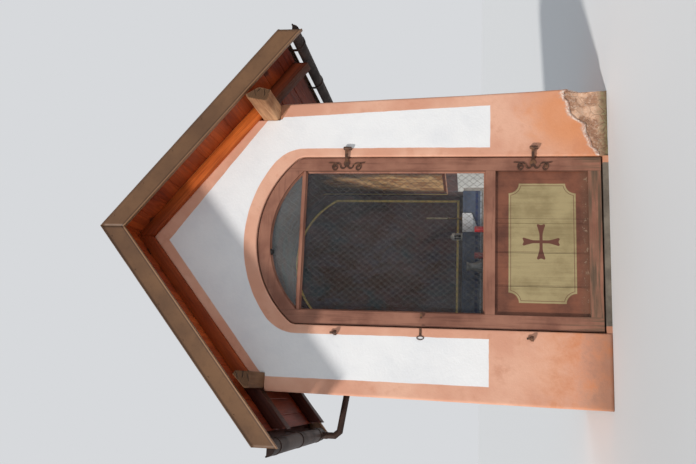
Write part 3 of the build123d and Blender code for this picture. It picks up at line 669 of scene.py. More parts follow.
def aroundGrid(side, outer, plate):
    # the wall's rows go on round the corner, down the side, round the rear corner and in to the middle
    front, rear = chapel["front"] - coat["proud"], chapel["rear"] + coat["proud"]
    corner = coat["corner"]
    wallRows = coat["jambRows"] + coat["haunchRows"]
    x, z = outer[:wallRows, :1], outer[:wallRows, 1:]
    turn = np.linspace(0, math.pi / 2, coat["bendRows"])
    share = np.linspace(0, 1, coat["sideColumns"] + 1)[1:] ** coat["sideCrowding"]
    out = corner * np.concatenate((np.sin(turn), np.ones(len(share)), np.cos(turn[1:])))
    depth = np.concatenate((front + corner * (1 - np.cos(turn)),
                            front + corner + (rear - front - 2 * corner) * share,
                            rear - corner * (1 - np.sin(turn[1:]))))
    inward = np.linspace(plate, 0, coat["rearColumns"] + 1) / x[-1]
    inward = np.concatenate((((1 + inward[0]) / 2,), inward))
    return np.concatenate((gridOf(side * (x + out), depth, z), gridOf(side * x * inward, rear, z)), 1)


def rearGableGrid(side, plate):
    # rows rise from the wall's top to the gable's slope
    across = np.linspace(plate, 0, coat["rearColumns"] + 1)
    rise = np.linspace(0, 1, coat["rearRows"])[:, None]
    top = chapel["wallTop"]
    z = top + rise * (chapel["gableTop"] - slope * across - top)
    return gridOf(side * across, chapel["rear"] + coat["proud"], z)


def coatHalf(side):
    outer, plate = coatOutline(side)
    return frontGrid(side, outer), aroundGrid(side, outer, plate), rearGableGrid(side, plate)


def loseFoot(points):
    # lifts the lower rows to the broken edge on the right-hand corner, times the cube of the share of the
    # way down from the springing; also how near each point is to the broken edge
    x, y, z = (points[..., i] for i in range(3))
    along = np.where(y < chapel["front"], np.abs(x), chapel["baseRight"] + y - chapel["front"])
    onRight = (x > coat["lossFrom"]) & (y < 0)
    lift = np.where(onRight, breakHeight(along), 0)
    share = np.clip((chapel["spring"] - z) / chapel["spring"], 0, 1)
    lifted = points.copy()
    lifted[..., 2] += lift * share ** 3
    gap = np.where(onRight & (lift > coat["leastLift"]), lifted[..., 2] - lift, 1.0)
    return lifted, np.clip(1 - gap / coat["lip"], 0, 1)


def addCoat():
    shapes, lips = [], []
    for side in (-1, 1):
        for grid in coatHalf(side):
            grid, lip = loseFoot(grid)
            cells = quads(*lip.shape)
            shapes.append((grid, [cells if side > 0 else cells[:, ::-1]]))
            lips.append(lip.reshape(-1))
    points, faces = joined(shapes)
    lip = np.concatenate(lips)
    # an uneven face: waves of three sizes outwards, in front, behind and at the sides
    wave = lumps(points, 0.34, 1) * 0.6 + lumps(points, 0.12, 2) * 0.3 + lumps(points, 0.045, 4) * 0.12
    x, y = points[:, 0], points[:, 1]
    atEnd = np.where(y < chapel["front"] - 0.001, -1, np.where(y > chapel["rear"] + 0.001, 1, 0))
    atSide = np.where((atEnd == 0) & (np.abs(x) > coat["sideFrom"]), np.sign(x), 0)
    # the broken edge stands a little proud and is chipped
    chips = lumps(points, 0.022, 6) * 0.6 + lumps(points, 0.009, 8) * 0.4
    curl = lip ** 2 * (0.4 + chips) * coat["curl"]
    points = points + gridOf(atSide, atEnd, 0) * (wave * coat["wave"] + curl)[:, None]
    made = addMesh("plasterCoat", points, faces, plaster, "chapel")
    mark(made, "lip", lip)
    solid(merged(made, 0.0002), coat["thick"])


addCoat()
print("plaster coat made")


# Rubble and old mortar laid bare under the broken plaster, from the doorway's arris round the corner
core = {
    "thick": 0.0008, "depth": 0.0095, "least": 0.001, "front": 0.015, "side": 0.880, "lap": 0.014,
    "start": 0.5003, "end": 1.128, "rows": 30, "columns": 170, "proud": 0.0008, "slope": 0.045,
    "recessAlong": (0.5, 0.526, 0.705, 0.723, 0.896, 0.991, 1.091, 1.13),
    "recessHeight": (0.047, 0.056, 0.140, 0.156, 0.222, 0.150, 0.060, 0.0),
    "lumps": ((0.055, 41, 0.0035), (0.022, 42, 0.0022), (0.009, 43, 0.0012)), "arrisBack": 0.002,
}
coreTones = {
    "mortar": tone(220, 180, 152), "mortarDeep": tone(190, 144, 115), "stone": tone(164, 124, 100),
    "lime": tone(226, 206, 188), "dirt": tone(84, 70, 52), "moss": tone(96, 100, 62),
}


def coreFinish():
    # mortar in warm greys, stones a little darker and smoother, dirt and moss at the foot
    f = Finish("rubbleCore", Specular_IOR_Level=0.2)
    tones = coreTones
    joint = f.cells(17.0, feature="DISTANCE_TO_EDGE")
    grit = f.noise(70.0, 4, 0.65)
    cloud = f.noise(11.0, 4, 0.6)
    colour = f.between(cloud, 0.35, 0.68, tones["mortar"], tones["mortarDeep"])
    stone = f.step(joint, 0.010, 0.020) * f.step(cloud, 0.45, 0.55)
    colour = f.mix(stone, colour, tones["stone"])
    colour = f.mix(f.step(grit, 0.50, 0.68) * 0.5, colour, tones["lime"])
    damp = f.fade(f.z + (cloud - 0.5) * 0.10, 0.0, 0.075)
    colour = f.mix(damp * 0.8, colour, f.between(grit, 0.42, 0.60, tones["dirt"], tones["moss"]))
    return f.finish(colour, 0.93, f.step(joint, 0.0, 0.03) * 0.5 + grit * 0.5, 0.004)


def addCore():
    # rows rise from the ground to just behind the broken edge, set back by the plaster and its roughness
    along = np.linspace(core["start"], core["end"], core["columns"])
    z = np.linspace(0, 1, core["rows"])[:, None] * (breakHeight(along) + core["lap"])
    corner = wallFace(1, z)
    spot = gridOf(along, 0, z)
    rough = sum(lumps(spot, size, seed) * tall for size, seed, tall in core["lumps"])
    # above the recess of the CAD wall the core is only a thin skin on its face, and it slopes in below
    inside = (np.interp(along, core["recessAlong"], core["recessHeight"]) - z) / core["slope"]
    inside = np.clip(inside, 0, 1)
    depth = np.clip(core["depth"] - rough, core["least"], core["front"]) * inside
    depth = depth - core["proud"] * (1 - inside)
    x = np.minimum(along, corner - np.minimum(depth, corner - core["side"] - core["least"]))
    y = np.maximum(chapel["front"] + depth, chapel["front"] + along - corner)
    grid = gridOf(x, y, z)
    arris = grid[:, :1] * (1, 0, 1) + (0, chapel["front"] + core["front"] + core["arrisBack"], 0)
    grid = np.concatenate((arris, grid), 1)
    faces = quads(*grid.shape[:2]).tolist()
    made = addMesh("rubbleCore", grid, faces, coreFinish(), "chapel")
    solid(merged(made, 0.0002), core["thick"], even=False)


addCore()
print("rubble laid bare")


# Roof, from the gable's slope upwards: rafters, boards, battens, upper boards and the sheet-metal covering
roofSizes = {
    "rafterDepth": 0.070, "boardThick": 0.025, "battenDepth": 0.028, "deckThick": 0.024,
    "boardEdge": 1.092, "deckEdge": 1.150, "tail": 1.082, "eave": 1.169, "front": -0.815, "rear": 0.670,
    "ridgeTop": 2.8382, "vergeHeight": 0.142,
}
boards = {
    "width": 0.118, "groove": 0.004, "grooveHalf": 0.004, "firstJoint": 0.02, "lastJoint": 0.03,
    "rows": 40, "grain": 0.15, "rough": 0.0008, "upperStart": 0.002, "upperGap": 0.003, "deckGap": 0.0005,
    "battens": 4, "battenHalf": 0.025, "battenGap": 0.0003, "battenRough": 0.0008, "battenStart": 0.001,
    "battenShort": 0.002, "arris": 0.002,
}
boardUnder = chapel["gableTop"] + roofSizes["rafterDepth"] * plumb
boardTop = boardUnder + roofSizes["boardThick"] * plumb
deckUnder = boardTop + roofSizes["battenDepth"] * plumb

# Wood: grain along the piece, in the tones of each kind, with stains, painted shade and painted highlights
woodKinds = {
    "soffit": {
        "light": tone(186, 86, 36), "dark": tone(128, 52, 20), "knot": tone(66, 28, 14), "ring": 5.0,
        "ringShare": 0.45, "eachBoard": tone(190, 132, 100), "eavesShade": tone(150, 118, 104),
    },
    "rafter": {
        "light": tone(216, 112, 46), "dark": tone(150, 68, 26), "knot": tone(80, 36, 16), "ring": 7.0,
        "ringShare": 0.40, "upperHighlight": tone(214, 142, 92), "lowerHighlight": tone(206, 160, 122),
        "shelteredShade": tone(158, 124, 112), "eavesShade": tone(92, 68, 60),
    },
    "plate": {
        "light": tone(206, 162, 122), "dark": tone(152, 108, 76), "knot": tone(74, 52, 38), "ring": 6.0,
        "ringShare": 0.45, "end": tone(132, 96, 68), "endRing": tone(88, 60, 42),
        "endPale": tone(192, 158, 124), "crack": tone(34, 22, 16), "stain": tone(166, 136, 110),
        "leftSideShade": tone(112, 96, 84), "leftEndShade": tone(110, 104, 98),
    },
}
# Drying cracks of the plates' ends: height, lean, and how far their middle is from the end's own
plateEnd = {
    "middle": (0.80, 1.86), "rings": 130.0, "bandHeight": 1.962,
    "cracks": ((1.984, 0.30, -0.02), (1.962, -0.25, 0.01), (1.934, 0.15, -0.01), (1.914, -0.2, 0.02)),
}


def downSlope(f):
    return abs(f.x) * (1 / plumb) - f.z * math.sin(roofPitch)


def offSlope(f):
    return abs(f.x) * math.sin(roofPitch) + f.z * (1 / plumb)


def woodFinish(name, along, across, depth, gloss):
    # rings are noise stretched along the grain; a finer set of fibres and long cracks lies over it
    kind = woodKinds[name]
    f = Finish(name + "Wood", Specular_IOR_Level=0.22)
    lengthways, sideways, inwards = along(f), across(f), depth(f)

    def grain(share):
        return f.vector(lengthways * share, sideways, inwards)

    rings = f.noise(kind["ring"] * 2.2, 3, 0.5, at=grain(0.06), warp=0.8)
    ring = f.step(abs(f.maths("FRACT", rings * 7.0) - 0.5), 0.05, 0.5)
    fibres = f.noise(150.0, 3, 0.6, at=grain(0.02))
    colour = f.mix(ring * kind["ringShare"], kind["light"], kind["dark"])
    colour = f.shade(f.step(fibres, 0.45, 0.70) * 0.30, colour, kind["dark"])
    patch = f.noise(2.4, 4, 0.6, at=grain(0.4))
    colour = f.shade(f.step(patch, 0.40, 0.72) * 0.75, colour, kind["dark"])
    crack = f.step(f.noise(46.0, 2, 0.5, at=grain(0.03)), 0.70, 0.74)
    colour = f.mix(crack * 0.6, colour, kind["knot"])
    spots = f.cells(2.6, at=grain(0.45))
    colour = f.mix(f.step(spots, 0.075, 0.035) * 0.85, colour, kind["knot"])
    height = ring * 0.35 + fibres * 0.65 - crack * 0.8
    return f, colour, height, f.step(patch, 0.3, 0.8, gloss, gloss + 0.25)


def soffitFinish():
    # each board gets its own tone from its place down the slope
    f, colour, height, rough = woodFinish("soffit", lambda f: f.y, downSlope, offSlope, gloss=0.45)
    kind = woodKinds["soffit"]
    board = f.maths("FLOOR", (downSlope(f) + 2.0) / boards["width"])
    spot = f.vector(board, f.step(f.x, -0.001, 0.001), 0.0)
    each = f.node("ShaderNodeTexWhiteNoise", {"noise_dimensions": "2D"}, {"Vector": spot}, out="Value")
    colour = f.shade(each * 0.5, colour, kind["eachBoard"])
    # painted shade: the boards darker towards the eaves
    colour = f.shade(f.step(abs(f.x), 0.70, 1.05) * 0.7, colour, kind["eavesShade"])
    return f.finish(colour, rough, height, 0.0012)


def rafterFinish():
    # painted highlights: a paler upper edge, and a pale line along the lower arris over the tails
    f, colour, height, rough = woodFinish("rafter", downSlope, offSlope, lambda f: f.y, gloss=0.5)
    kind = woodKinds["rafter"]
    top = (f.z + abs(f.x) * slope - chapel["gableTop"]) / (roofSizes["rafterDepth"] * plumb)
    colour = f.mix(f.step(top, 0.90, 0.97) * 0.55, colour, kind["upperHighlight"])
    lower = f.step(top, 0.05, 0.015) * f.step(abs(f.x), 0.80, 0.86)
    colour = f.mix(lower * 0.6, colour, kind["lowerHighlight"])
    # painted shade: darker at the ridge and on the left, and in the eaves past the wall plates
    colour = f.shade(f.fade(f.x, 0.05, 0.40) * 0.8, colour, kind["shelteredShade"])
    colour = f.shade(f.step(abs(f.x), 0.74, 0.88) * 0.95, colour, kind["eavesShade"])
    return f.finish(colour, rough, height, 0.0015)


def plateFinish():
    # end grain with rings and drying cracks on the slanted ends, darker there; long stains along the sides
    f, colour, height, rough = woodFinish("plate", lambda f: f.y, lambda f: f.x, lambda f: f.z, gloss=0.7)
    kind = woodKinds["plate"]
    isEnd = f.attribute("endGrain")
    onLeft = f.fade(f.x, -0.01, 0.01)
    across, up = abs(f.x) - plateEnd["middle"][0], f.z - plateEnd["middle"][1]
    radius = (across ** 2 + up ** 2) ** 0.5 + (f.noise(12.0, 3) - 0.5) * 0.02
    rings = f.step(f.maths("FRACT", radius * plateEnd["rings"]), 0.3, 0.9)
    drift = (f.noise(9.0, 3, 0.6) - 0.5) * 0.030
    cracks = []
    for at, lean, off in plateEnd["cracks"]:
        line = f.stroke(f.z - at - across * lean + drift, 0.0005, 0.0022)
        cracks.append(line * f.stroke(across - off, 0.018, 0.034))
    crack = f.most(*cracks)
    end = f.mix(rings * 0.55, kind["end"], kind["endRing"])
    band = f.stroke(f.z - plateEnd["bandHeight"] + f.x * 0.1, 0.004, 0.010)
    end = f.mix(band * 0.6, end, kind["endPale"])
    end = f.mix(crack, end, kind["crack"])
    stain = f.fade(f.noise(6.0, 4) + (f.y + 0.87) * 1.2, 0.45, 0.70)
    colour = f.shade(stain * 0.4, colour, kind["stain"])
    # painted shade: the left plate darker on its sides and on its end
    colour = f.shade(onLeft * 0.85, colour, kind["leftSideShade"])
    colour = f.mix(isEnd, colour, end)
    colour = f.shade(isEnd * onLeft * 0.6, colour, kind["leftEndShade"])
    return f.finish(colour, rough, height + crack * isEnd * -1.5, 0.002)


# Sheet metal: satin brown paint, chalked and streaked
metalTones = {
    "roof": (tone(120, 90, 66), tone(94, 68, 50)), "rainShaded": (tone(62, 45, 38), tone(40, 29, 26)),
    "chalk": tone(206, 190, 168), "verge": (tone(118, 85, 58), tone(94, 66, 45)),
    "vergeFine": tone(120, 96, 78), "foldPale": tone(158, 120, 88), "creaseShade": tone(96, 76, 64),
    "rollShade": tone(120, 100, 84),
}


def sheetFinish(name, tones, rough=0.45, gloss=0.4):
    f = Finish(name, Specular_IOR_Level=gloss)
    light, dark = tones
    cloud = f.noise(3.0, 5, 0.6)
    streak = f.noise(24.0, 4, 0.6, at=f.stretched(z=0.12))
    speck = f.noise(130.0, 3, 0.6)
    colour = f.between(cloud, 0.35, 0.70, light, dark)
    colour = f.shade(f.step(streak, 0.50, 0.78) * 0.25, colour, dark)
    colour = f.mix(f.step(speck, 0.70, 0.76) * 0.25, colour, metalTones["chalk"])
    return f.finish(colour, f.step(cloud, 0.3, 0.8, rough, rough + 0.2), cloud * 0.9 + speck * 0.04, 0.004)


def vergeFinish():
    # the same paint on the verges; the folded lower edge is paler, with painted shade in the crease above it
    # and under the rolled top edge
    f = Finish("vergeSheet", Specular_IOR_Level=0.4)
    tones = metalTones
    cloud = f.noise(2.2, 5, 0.6)
    fine = f.noise(40.0, 4, 0.6)
    rise = f.z + abs(f.x) * slope - roofSizes["ridgeTop"] + roofSizes["vergeHeight"]
    colour = f.between(cloud, 0.35, 0.68, *tones["verge"])
    colour = f.shade(f.step(fine, 0.50, 0.75) * 0.18, colour, tones["vergeFine"])
    colour = f.mix(f.fade(rise, 0.006, 0.012) * 0.5, colour, tones["foldPale"])
    # painted shade in the crease above the fold, and under the rolled top edge
    colour = f.shade(f.stroke(rise - 0.016, 0.002, 0.006) * 0.5, colour, tones["creaseShade"])
    colour = f.shade(f.step(rise, 0.120, 0.140) * 0.35, colour, tones["rollShade"])
    return f.finish(colour, f.step(cloud, 0.3, 0.8, 0.42, 0.62), cloud * 0.95 + fine * 0.03, 0.005)


soffit = soffitFinish()
rafterWood = rafterFinish()
plateWood = plateFinish()
vergeMetal = vergeFinish()
dress(soffit, "roof_boards_left", "roof_boards_right")
dress(rafterWood, "front_rafters", "rear_rafters")
dress(plateWood, "wall_plates")
dress(sheetFinish("roofSheet", metalTones["roof"]), "roof_sheet_left", "roof_sheet_right", "ridge_cap")
dress(vergeMetal, "front_verge_left", "front_verge_right", "rear_verge_left", "rear_verge_right")
# gutters and pipes: the brown paint, darkened further as painted shade
dress(sheetFinish("rainSheet", metalTones["rainShaded"], rough=0.50, gloss=0.18), "gutter_left", "gutter_right",
      "gutter_brackets", "downpipe_left", "downpipe_right", "pipe_clips")
print("roof has its finishes")


def addSoffitBoards(side, word):
    # a section of the boards across the slope, grooved on its underside, carried from front to rear
    edge = roofSizes["boardEdge"]
    joints = np.arange(boards["firstJoint"], edge - boards["lastJoint"], boards["width"] / plumb)
    half = boards["grooveHalf"]
    under = np.concatenate(((0,), (joints[:, None] + (-half, 0, half)).ravel(), (edge,)))
    groove = np.concatenate(((0,), np.tile((0, boards["groove"], 0), len(joints)), (0,)))
    over = np.linspace(edge, 0, 12)
    x = np.concatenate((under, over))
    z = np.concatenate((boardUnder - slope * under + groove, boardTop - slope * over))
    depth = np.linspace(roofSizes["front"], roofSizes["rear"], boards["rows"])[:, None]
    grid = gridOf(side * x, depth, z)
    face = grid[:, 1:len(under) - 1]
    face[..., 2] += lumps(face * (1, boards["grain"], 1), 0.07, 7) * boards["rough"]
    made = addShapes(f"soffitBoards_{word}", [loft(grid)], soffit, "chapel", smooth=False)
    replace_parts(made, f"roof_boards_{word}")


def addUpperBoards(side, word):
    # upper boards side by side down the slope, and the battens under them
    front, rear, end = roofSizes["front"], roofSizes["rear"], roofSizes["deckEdge"]
    run, gap = boards["width"] / plumb, boards["deckGap"]
    section = roundedBox(front, rear, gap, roofSizes["deckThick"] * plumb - gap, boards["arris"])
    shapes = []
    for start in np.arange(boards["upperStart"], end, run):
        stop = min(start + run - boards["upperGap"], end)
        shapes.append(slopeBar(side, section, deckUnder, start, stop, rows=3))
    half, gap = boards["battenHalf"], boards["battenGap"]
    depth = roofSizes["battenDepth"] * plumb
    start, stop = boards["battenStart"], roofSizes["boardEdge"] - boards["battenShort"]
    for at in np.linspace(front + half, rear - half, boards["battens"]):
        section = roundedBox(at - half, at + half, gap, depth - gap, boards["arris"])
        shapes.append(slopeBar(side, section, boardTop, start, stop, 12, boards["battenRough"]))
    made = addShapes(f"upperBoards_{word}", shapes, rafterWood, "chapel", smooth=False)
    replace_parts(made, f"roof_boards_{word}")


rafters = {"near": 0.470, "far": 0.570, "arris": 0.005, "gap": 0.0005, "rows": 110, "rough": 0.0012}


def addRafters(word, front, rear):
    # planed rafters with eased arrises and a little hand-worked unevenness, mitred at the ridge
    section = roundedBox(front, rear, 0, roofSizes["rafterDepth"] * plumb - rafters["gap"], rafters["arris"])
    shapes = [slopeBar(side, section, chapel["gableTop"], 0, roofSizes["tail"],
                       rafters["rows"], rafters["rough"], 11 + side) for side in (-1, 1)]
    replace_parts(addShapes(f"rafterPair_{word}", shapes, rafterWood, "chapel"), f"{word}_rafters")


# Verge flashing: folded drip, flat face with a slight hollow, rolled top edge, and a row of nails; the
# folds are points out from the face and up from its lower or upper edge
verge = {
    "front": -0.840, "rear": 0.695, "back": 0.025, "hollow": 0.0012, "hollowFoot": 0.013, "hollowTop": 0.012,
    "drip": ((-0.002, 0.0), (0.004, -0.0005), (0.005, 0.001), (0.0045, 0.004), (0.001, 0.008), (0.0, 0.013)),
    "roll": ((0.003, -0.008), (0.0045, -0.004), (0.003, 0.0005), (-0.003, 0.0012)),
    "nail": 0.0035, "nailGap": 0.19, "nailStart": 0.06, "nailEnd": 0.03, "nailRise": 0.82, "nailHead": 0.0018,
    "rows": 70, "rough": 0.0005,
}


def addVerge(side, word, end):
    # the face is hollow by a sine of the share of the way up; way is the outward direction along the depth
    height, face = roofSizes["vergeHeight"], verge[end]
    way = -1 if end == "front" else 1
    back = face - way * verge["back"]
    rise = height - verge["hollowFoot"] - verge["hollowTop"]
    hollow = [(face - way * verge["hollow"] * math.sin(math.pi * t), verge["hollowFoot"] + rise * t)
              for t in np.linspace(0.1, 1, 9)]
    section = [(back, 0.001)] + [(face + way * out, up) for out, up in verge["drip"]] + hollow
    section += [(face + way * out, height + up) for out, up in verge["roll"]] + [(back, height)]
    base = roofSizes["ridgeTop"] - height
    eave = roofSizes["eave"]
    shapes = [slopeBar(side, section, base, 0, eave, verge["rows"], verge["rough"], 21 + side)]
    for x in np.arange(verge["nailStart"], eave - verge["nailEnd"], verge["nailGap"]):
        foot = np.array((side * x, face + way * 0.0002, base + height * verge["nailRise"] - slope * x))
        ends = [foot, foot + (0, way * verge["nailHead"], 0)]
        shapes.append(carried(circle(verge["nail"], 10), ends, scale=(1, 0.6)))
    made = addShapes(f"vergeFold_{end}_{word}", shapes, vergeMetal, "chapel")
    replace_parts(made, f"{end}_verge_{word}")


# Wall plates: rough squared beams with slanted ends, each waney on one lower arris
plates = {
    "frontTop": -0.927, "frontFoot": -0.850, "rear": 0.664, "seatGap": 0.0005, "topGap": 0.001,
    "rows": 60, "corners": 72, "rough": 0.0022, "mostProud": 0.0005, "capRings": 7, "innerDrop": 0.030,
    "left": {"side": -1, "wane": 0.016, "ease": (0.020, 0.018), "skew": 0.0},
    "right": {"side": 1, "wane": 0.024, "ease": (0.022, 0.020), "skew": 0.045},
}


def plateSection(plate):
    # evenly spaced corners of the section: flat seat, quarter-round wane, upright outer face, roof slope, and
    # an eased upper arris; also their shares of the height and of the width
    side, wane = plate["side"], plate["wane"]
    outer = wallFace(side, chapel["wallTop"]) - chapel["plateInset"]
    inner = outer - chapel["plateWidth"]
    topOut, topIn = (chapel["gableTop"] - slope * x for x in (outer, inner))
    seat = chapel["wallTop"] + plates["seatGap"]
    turn = np.linspace(0, math.pi / 2, 5)
    arris = outer if side < 0 else inner
    arc = np.stack((arris + side * wane * (1 - np.cos(turn)), seat + wane * (1 - np.sin(turn))), 1)
    foot = [(inner, seat), *arc[::-1]] if side < 0 else [*arc, (outer, seat)]
    easeIn, easeDown = plate["ease"]
    head = [(outer, topOut - plates["topGap"]), (inner + easeIn, topIn - easeDown)]
    ring = np.array([*foot, *head, (inner, topIn - plates["innerDrop"]), foot[0]])
    run = np.concatenate(((0,), np.cumsum(np.linalg.norm(np.diff(ring, axis=0), axis=1))))
    at = np.linspace(0, run[-1], plates["corners"], endpoint=False)
    section = np.stack([np.interp(at, run, ring[:, i]) for i in (0, 1)], 1)
    return section, (section[:, 1] - seat) / (topIn - seat), (section[:, 0] - inner) / (outer - inner)


def plateGrid(plate):
    # the section carried back from its slanted front end, with waves that are drawn out along the beam
    side = plate["side"]
    section, up, across = plateSection(plate)
    start = plates["frontFoot"] + (plates["frontTop"] - plates["frontFoot"]) * up + plate["skew"] * across
    t = np.linspace(0, 1, plates["rows"])[:, None] ** 1.5
    grid = gridOf(side * section[:, 0], start + (plates["rear"] - start) * t, section[:, 1])
    grained = grid * (1.0, 0.2, 1.0)
    shift = (lumps(grained, 0.05, 31 + side) + lumps(grained, 0.016, 33) * 0.4) * plates["rough"]
    shift = np.minimum(shift, plates["mostProud"])
    out = outwards(section)
    grid[..., 0] += shift * out[:, 0] * side
    grid[..., 2] += shift * out[:, 1]
    return grid


def addPlates():
    # the two ends are nested rings, so that their face can be marked and stays flat
    shapes, ends = [], []
    inset = np.linspace(1, 0, plates["capRings"])[:, None, None]
    for word in ("left", "right"):
        grid = plateGrid(plates[word])
        shapes.append((grid, [quads(*grid.shape[:2], wrapColumns=True)]))
        ends.append(np.zeros(grid.size // 3))
        for row in (grid[0], grid[-1]):
            middle = row.mean(axis=0)
            cap = middle + (row - middle) * inset
            shapes.append((cap, [quads(*cap.shape[:2], wrapColumns=True)]))
            ends.append(np.ones(cap.size // 3))
    points, faces = joined(shapes)
    made = addMesh("plateBeams", points, faces, plateWood, "chapel")
    mark(made, "endGrain", np.concatenate(ends))
    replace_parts(merged(made, 0.00005), "wall_plates")


for side, word in ((-1, "left"), (1, "right")):
    addSoffitBoards(side, word)
    addUpperBoards(side, word)
    addVerge(side, word, "front")
    addVerge(side, word, "rear")
addRafters("front", -rafters["far"], -rafters["near"])
addRafters("rear", rafters["near"], rafters["far"])
addPlates()
print("roof timber and verges made")


# Door paint: red-brown over pine, worn to grey wood near the threshold
doorTones = {
    "paint": tone(156, 108, 88), "paintDeep": tone(124, 80, 64), "worn": tone(108, 84, 66),
    "bare": tone(88, 70, 56), "panel": tone(130, 80, 60), "panelDeep": tone(90, 54, 42),
    "field": tone(166, 150, 111), "fieldDeep": tone(142, 126, 90), "line": tone(100, 60, 48),
    "flake": tone(176, 152, 128), "iron": (tone(78, 54, 42), tone(118, 80, 54)),
    "glass": (tone(96, 100, 104), tone(150, 154, 154)),
}
stileJoint = 0.4142  # where the rails meet the stiles, from the middle


def doorFinish():
    # upright grain on the stiles and level grain on the rails, with a fine seam between them
    f = Finish("doorPaint", Specular_IOR_Level=0.4)
    tones = doorTones
    upright = f.noise(60.0, 4, 0.6, at=f.stretched(z=0.05))
    level = f.noise(60.0, 4, 0.6, at=f.stretched(x=0.05))
    isRail = f.fade(abs(f.x), stileJoint - 0.0007, stileJoint + 0.0003)
    grain = upright * (1 - isRail) + level * isRail
    cloud = f.noise(4.0, 5, 0.62)
    colour = f.between(cloud, 0.35, 0.68, tones["paint"], tones["paintDeep"])
    colour = f.shade(f.step(grain, 0.50, 0.68) * 0.35, colour, tones["paintDeep"])
    seam = f.stroke(abs(f.x) - stileJoint, 0.0003, 0.0014)
    colour = f.shade(seam * 0.6, colour, tones["bare"])
    low = f.fade(f.z + (cloud - 0.5) * 0.35, 0.04, 0.30)
    colour = f.mix(low * f.step(grain, 0.38, 0.60), colour, tones["worn"])
    colour = f.mix(low * low * f.step(grain, 0.52, 0.62) * 0.8, colour, tones["bare"])
    rough = f.step(cloud, 0.3, 0.8, 0.48, 0.72) + low * 0.15
    return f.finish(colour, rough, grain * 0.8 + cloud * 0.2, 0.0012)


# Lower panel: a pale field with hollow corners and a thin inner line, and a flared cross in its middle
panelField = {
    "x": 0.0, "z": 0.3635, "halfWidth": 0.342, "halfHeight": 0.1855, "notch": 0.057, "lineInset": 0.012,
    "lineHalf": 0.0013, "crossX": 0.005, "crossZ": 0.370, "joints": (-0.250, -0.2435, -0.060, -0.0535, 0.137),
}


def panelCross(f):
    # four arms that widen outwards and end in a hollow, with rounded tips
    field = panelField
    ax, az = abs(f.x - field["crossX"]), abs(f.z - field["crossZ"])
    along, aside = f.most(ax, az), f.least(ax, az)
    flare = 0.0085 + f.step(along, 0.035, 0.102) * 0.013 + f.step(along, 0.080, 0.090) * 0.0015
    dent = 0.007 * (1 - f.step(aside, 0.0, 0.022))
    rounded = f.step(aside, 0.016, 0.024) * 0.006
    return f.fade(aside - flare, -0.001, 0.001) * f.fade(along + dent + rounded, 0.102, 0.104)


def panelFinish():
    f = Finish("panelPaint", Specular_IOR_Level=0.35)
    field, tones = panelField, doorTones
    grain = f.noise(55.0, 4, 0.6, at=f.stretched(z=0.05))
    cloud = f.noise(5.0, 5, 0.62)
    across, up = abs(f.x - field["x"]), abs(f.z - field["z"])
    edge = f.least(field["halfWidth"] - across, field["halfHeight"] - up)
    corner = ((across - field["halfWidth"]) ** 2 + (up - field["halfHeight"]) ** 2) ** 0.5 - field["notch"]
    inside = f.least(edge, corner)
    gap = inside + (f.noise(18.0, 3) - 0.5) * 0.003
    isField = f.step(gap, -0.0015, 0.0015)
    line = f.stroke(inside - field["lineInset"], field["lineHalf"], field["lineHalf"] + 0.0012)
    line = line * f.step(gap, 0.0, 0.002)
    brown = f.between(cloud, 0.35, 0.7, tones["panel"], tones["panelDeep"])
    pale = f.between(cloud + (grain - 0.5) * 0.3, 0.38, 0.68, tones["field"], tones["fieldDeep"])
    colour = f.mix(isField, brown, pale)
    colour = f.mix(f.most(line * 0.75, panelCross(f)), colour, tones["line"])
    colour = f.shade(f.step(grain, 0.52, 0.76) * (0.20 - isField * 0.12), colour, tones["panelDeep"])
    for joint in field["joints"]:
        colour = f.shade(f.stroke(f.x - joint, 0.0006, 0.0022) * 0.55, colour, tones["panelDeep"])
    # small flakes of the pale primer along the foot, and grey weathering under them
    low = f.fade(f.z + (cloud - 0.5) * 0.05, 0.120, 0.175)
    flake = f.step(f.noise(34.0, 5, 0.8, at=f.stretched(z=1.4)) - f.z * 0.5, 0.515, 0.535)
    colour = f.mix(low * 0.35, colour, tones["worn"])
    colour = f.mix(f.fade(f.z, 0.128, 0.160) * flake * 0.5, colour, tones["flake"])
    return f.finish(colour, f.step(cloud, 0.3, 0.8, 0.42, 0.68), grain * 0.8 + low * flake * -0.6, 0.0015)


def ironFinish(name, plain, rusty):
    f = Finish(name, Specular_IOR_Level=0.5)
    dents = f.noise(90.0, 3, 0.6)
    rust = f.noise(34.0, 5, 0.65)
    colour = f.between(rust, 0.48, 0.66, plain, rusty)
    metal = f.step(rust, 0.45, 0.62, 0.45, 0.1)
    return f.finish(colour, f.step(rust, 0.4, 0.7, 0.42, 0.75), dents, 0.0012, metal)


def glassFinish():
    # clear pane with a faint dusty film, and in the upper pane a paler, thicker film as painted reflection;
    # only its gloss and a little tint show
    f = Finish("paneGlass", Roughness=0.04, IOR=1.5, Specular_IOR_Level=0.9)
    film = f.noise(3.0, 5, 0.6, warp=0.6)
    # painted reflection: the upper pane paler and less clear
    upper = f.step(f.z, 1.742, 1.746)
    alpha = f.step(film, 0.30, 0.75, 0.04, 0.13) + upper * 0.07
    return f.finish(f.mix(upper, *doorTones["glass"]), alpha=alpha)


doorPaint = doorFinish()
iron = ironFinish("forgedIron", *doorTones["iron"])
dress(doorPaint, "door_stile_left", "door_stile_right", "door_arch_rail", "door_mid_rail",
      "door_bottom_rail", "door_transom_bar")
dress(panelFinish(), "door_panel")
dress(glassFinish(), "main_glass", "arch_glass")
dress(iron, "hinge_straps", "door_pull_and_catch", "wall_pintles", "latch")
print("door has its finishes")


